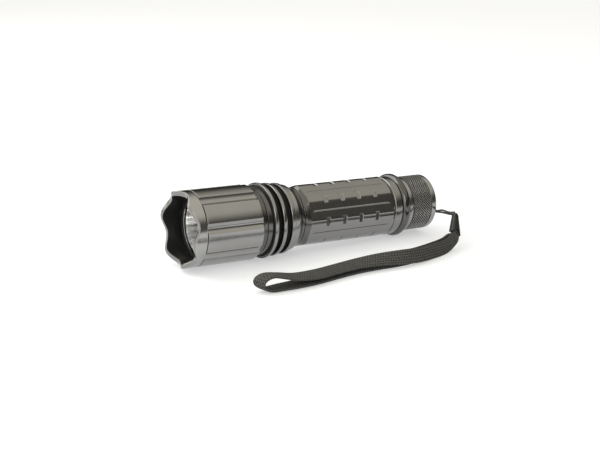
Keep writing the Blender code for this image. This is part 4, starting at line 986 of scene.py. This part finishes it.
class FLASHLIGHT_OT_stage(bpy.types.Operator):
    """Pale floor, two soft lamps, a grey room and the camera"""

    bl_idname = "flashlight.stage"
    bl_label = "Stage"

    def execute(self, context):
        settings = context.scene.flashlight
        scene = context.scene
        scene.view_settings.view_transform = "Standard"
        self.floor(settings)
        self.surroundings(scene)
        area_lamp("lamp_key", (-0.30, 0.55, 0.62), (0.9, 0.9), settings.lamp_power)
        area_lamp("lamp_fill", (-0.55, -0.75, 0.50), (0.5, 0.4), settings.lamp_power * 0.3)
        data = bpy.data.cameras.new("photo_camera")
        data.sensor_width, data.lens, data.clip_start = CAMERA_SENSOR, CAMERA_LENS, 0.01
        camera = bpy.data.objects.new("photo_camera", data)
        camera.location = CAMERA_PLACE
        camera.rotation_euler = Vector(CAMERA_AIM).to_track_quat("-Z", "Y").to_euler()
        scene.collection.objects.link(camera)
        scene.camera = camera
        return {"FINISHED"}

    def floor(self, settings):
        """A flat square just under the light that glows a little to the camera and in reflections only."""
        half, level, glow = 4.0, -0.0001, 0.45
        mesh = bpy.data.meshes.new("floor")
        corners = half * np.array([(-1, -1, 0), (1, -1, 0), (1, 1, 0), (-1, 1, 0)]) + (0, 0, level)
        mesh.from_pydata(corners.tolist(), [], [(0, 1, 2, 3)])
        floor = bpy.data.objects.new("floor", mesh)
        bpy.context.scene.collection.objects.link(floor)
        finish = Finish("pale_floor").set(Roughness=0.6, Specular_IOR_Level=0.2)
        finish.set(Emission_Color=(1.0, 1.0, 1.0, 1.0))
        finish.cloud(3.0, tuple(settings.floor_colour), 0.005)
        path = finish.add("ShaderNodeLightPath")
        seen = finish.math("MAXIMUM", path.outputs["Is Camera Ray"], path.outputs["Is Glossy Ray"])
        seen = finish.math("MAXIMUM", seen, path.outputs["Is Transmission Ray"])
        finish.drive("Emission Strength", finish.math("MULTIPLY", seen, glow))
        mesh.materials.append(finish.material)

    def surroundings(self, scene):
        """A grey room: dim along the walls and behind the light, brighter towards the ceiling, with a white
        wall on the side that the lens faces, all slightly warm."""
        world = bpy.data.worlds.new("studio")
        world.use_nodes = True
        scene.world = world
        tree = world.node_tree
        place = tree.nodes.new("ShaderNodeTexCoord")
        axes = tree.nodes.new("ShaderNodeSeparateXYZ")
        tree.links.new(place.outputs["Generated"], axes.inputs["Vector"])

        def ramp(axis, low, high, first, second):
            node = tree.nodes.new("ShaderNodeMapRange")
            node.interpolation_type = "SMOOTHSTEP"
            limits = {"From Min": low, "From Max": high, "To Min": first, "To Max": second}
            for name, value in limits.items():
                node.inputs[name].default_value = value
            tree.links.new(axes.outputs[axis], node.inputs["Value"])
            return node.outputs["Result"]

        def math(operation, first, second):
            node = tree.nodes.new("ShaderNodeMath")
            node.operation = operation
            tree.links.new(first, node.inputs[0])
            tree.links.new(second, node.inputs[1])
            return node.outputs["Value"]

        ceiling = ramp("Z", 0.32, 0.70, 0.12, 0.92)
        behind = ramp("Y", 0.25, 0.85, 1.0, 0.25)
        lens_side = ramp("X", -0.75, -0.15, 1.2, 0.0)
        strength = math("MAXIMUM", math("MULTIPLY", ceiling, behind), lens_side)
        light = tree.nodes["Background"]
        light.inputs["Color"].default_value = (1.0, 0.96, 0.84, 1.0)
        tree.links.new(strength, light.inputs["Strength"])


# Add-on

OPERATORS = (
    FLASHLIGHT_OT_stage, FLASHLIGHT_OT_string, FLASHLIGHT_OT_strap, FLASHLIGHT_OT_crimp,
    FLASHLIGHT_OT_bezel_ring, FLASHLIGHT_OT_optics, FLASHLIGHT_OT_head_shell, FLASHLIGHT_OT_heat_sink,
    FLASHLIGHT_OT_barrel, FLASHLIGHT_OT_tail_cap, FLASHLIGHT_OT_tail_button, FLASHLIGHT_OT_inner_pieces,
)


class FLASHLIGHT_PT_pieces(bpy.types.Panel):
    """Lists the flashlight's pieces and settings"""

    bl_idname = "FLASHLIGHT_PT_pieces"
    bl_label = "Flashlight"
    bl_space_type = "VIEW_3D"
    bl_region_type = "UI"
    bl_category = "Flashlight"

    def draw(self, context):
        for name in FlashlightSettings.__annotations__:
            self.layout.prop(context.scene.flashlight, name)
        for operator in OPERATORS:
            self.layout.operator(operator.bl_idname)


CLASSES = (FlashlightSettings, *OPERATORS, FLASHLIGHT_PT_pieces)


def register():
    for item in CLASSES:
        bpy.utils.register_class(item)
    bpy.types.Scene.flashlight = PointerProperty(type=FlashlightSettings)


def unregister():
    del bpy.types.Scene.flashlight
    for item in reversed(CLASSES):
        bpy.utils.unregister_class(item)


def main():
    register()
    for operator in OPERATORS:
        group, action = operator.bl_idname.split(".")
        getattr(getattr(bpy.ops, group), action)()


if __name__ == "__main__":
    main()
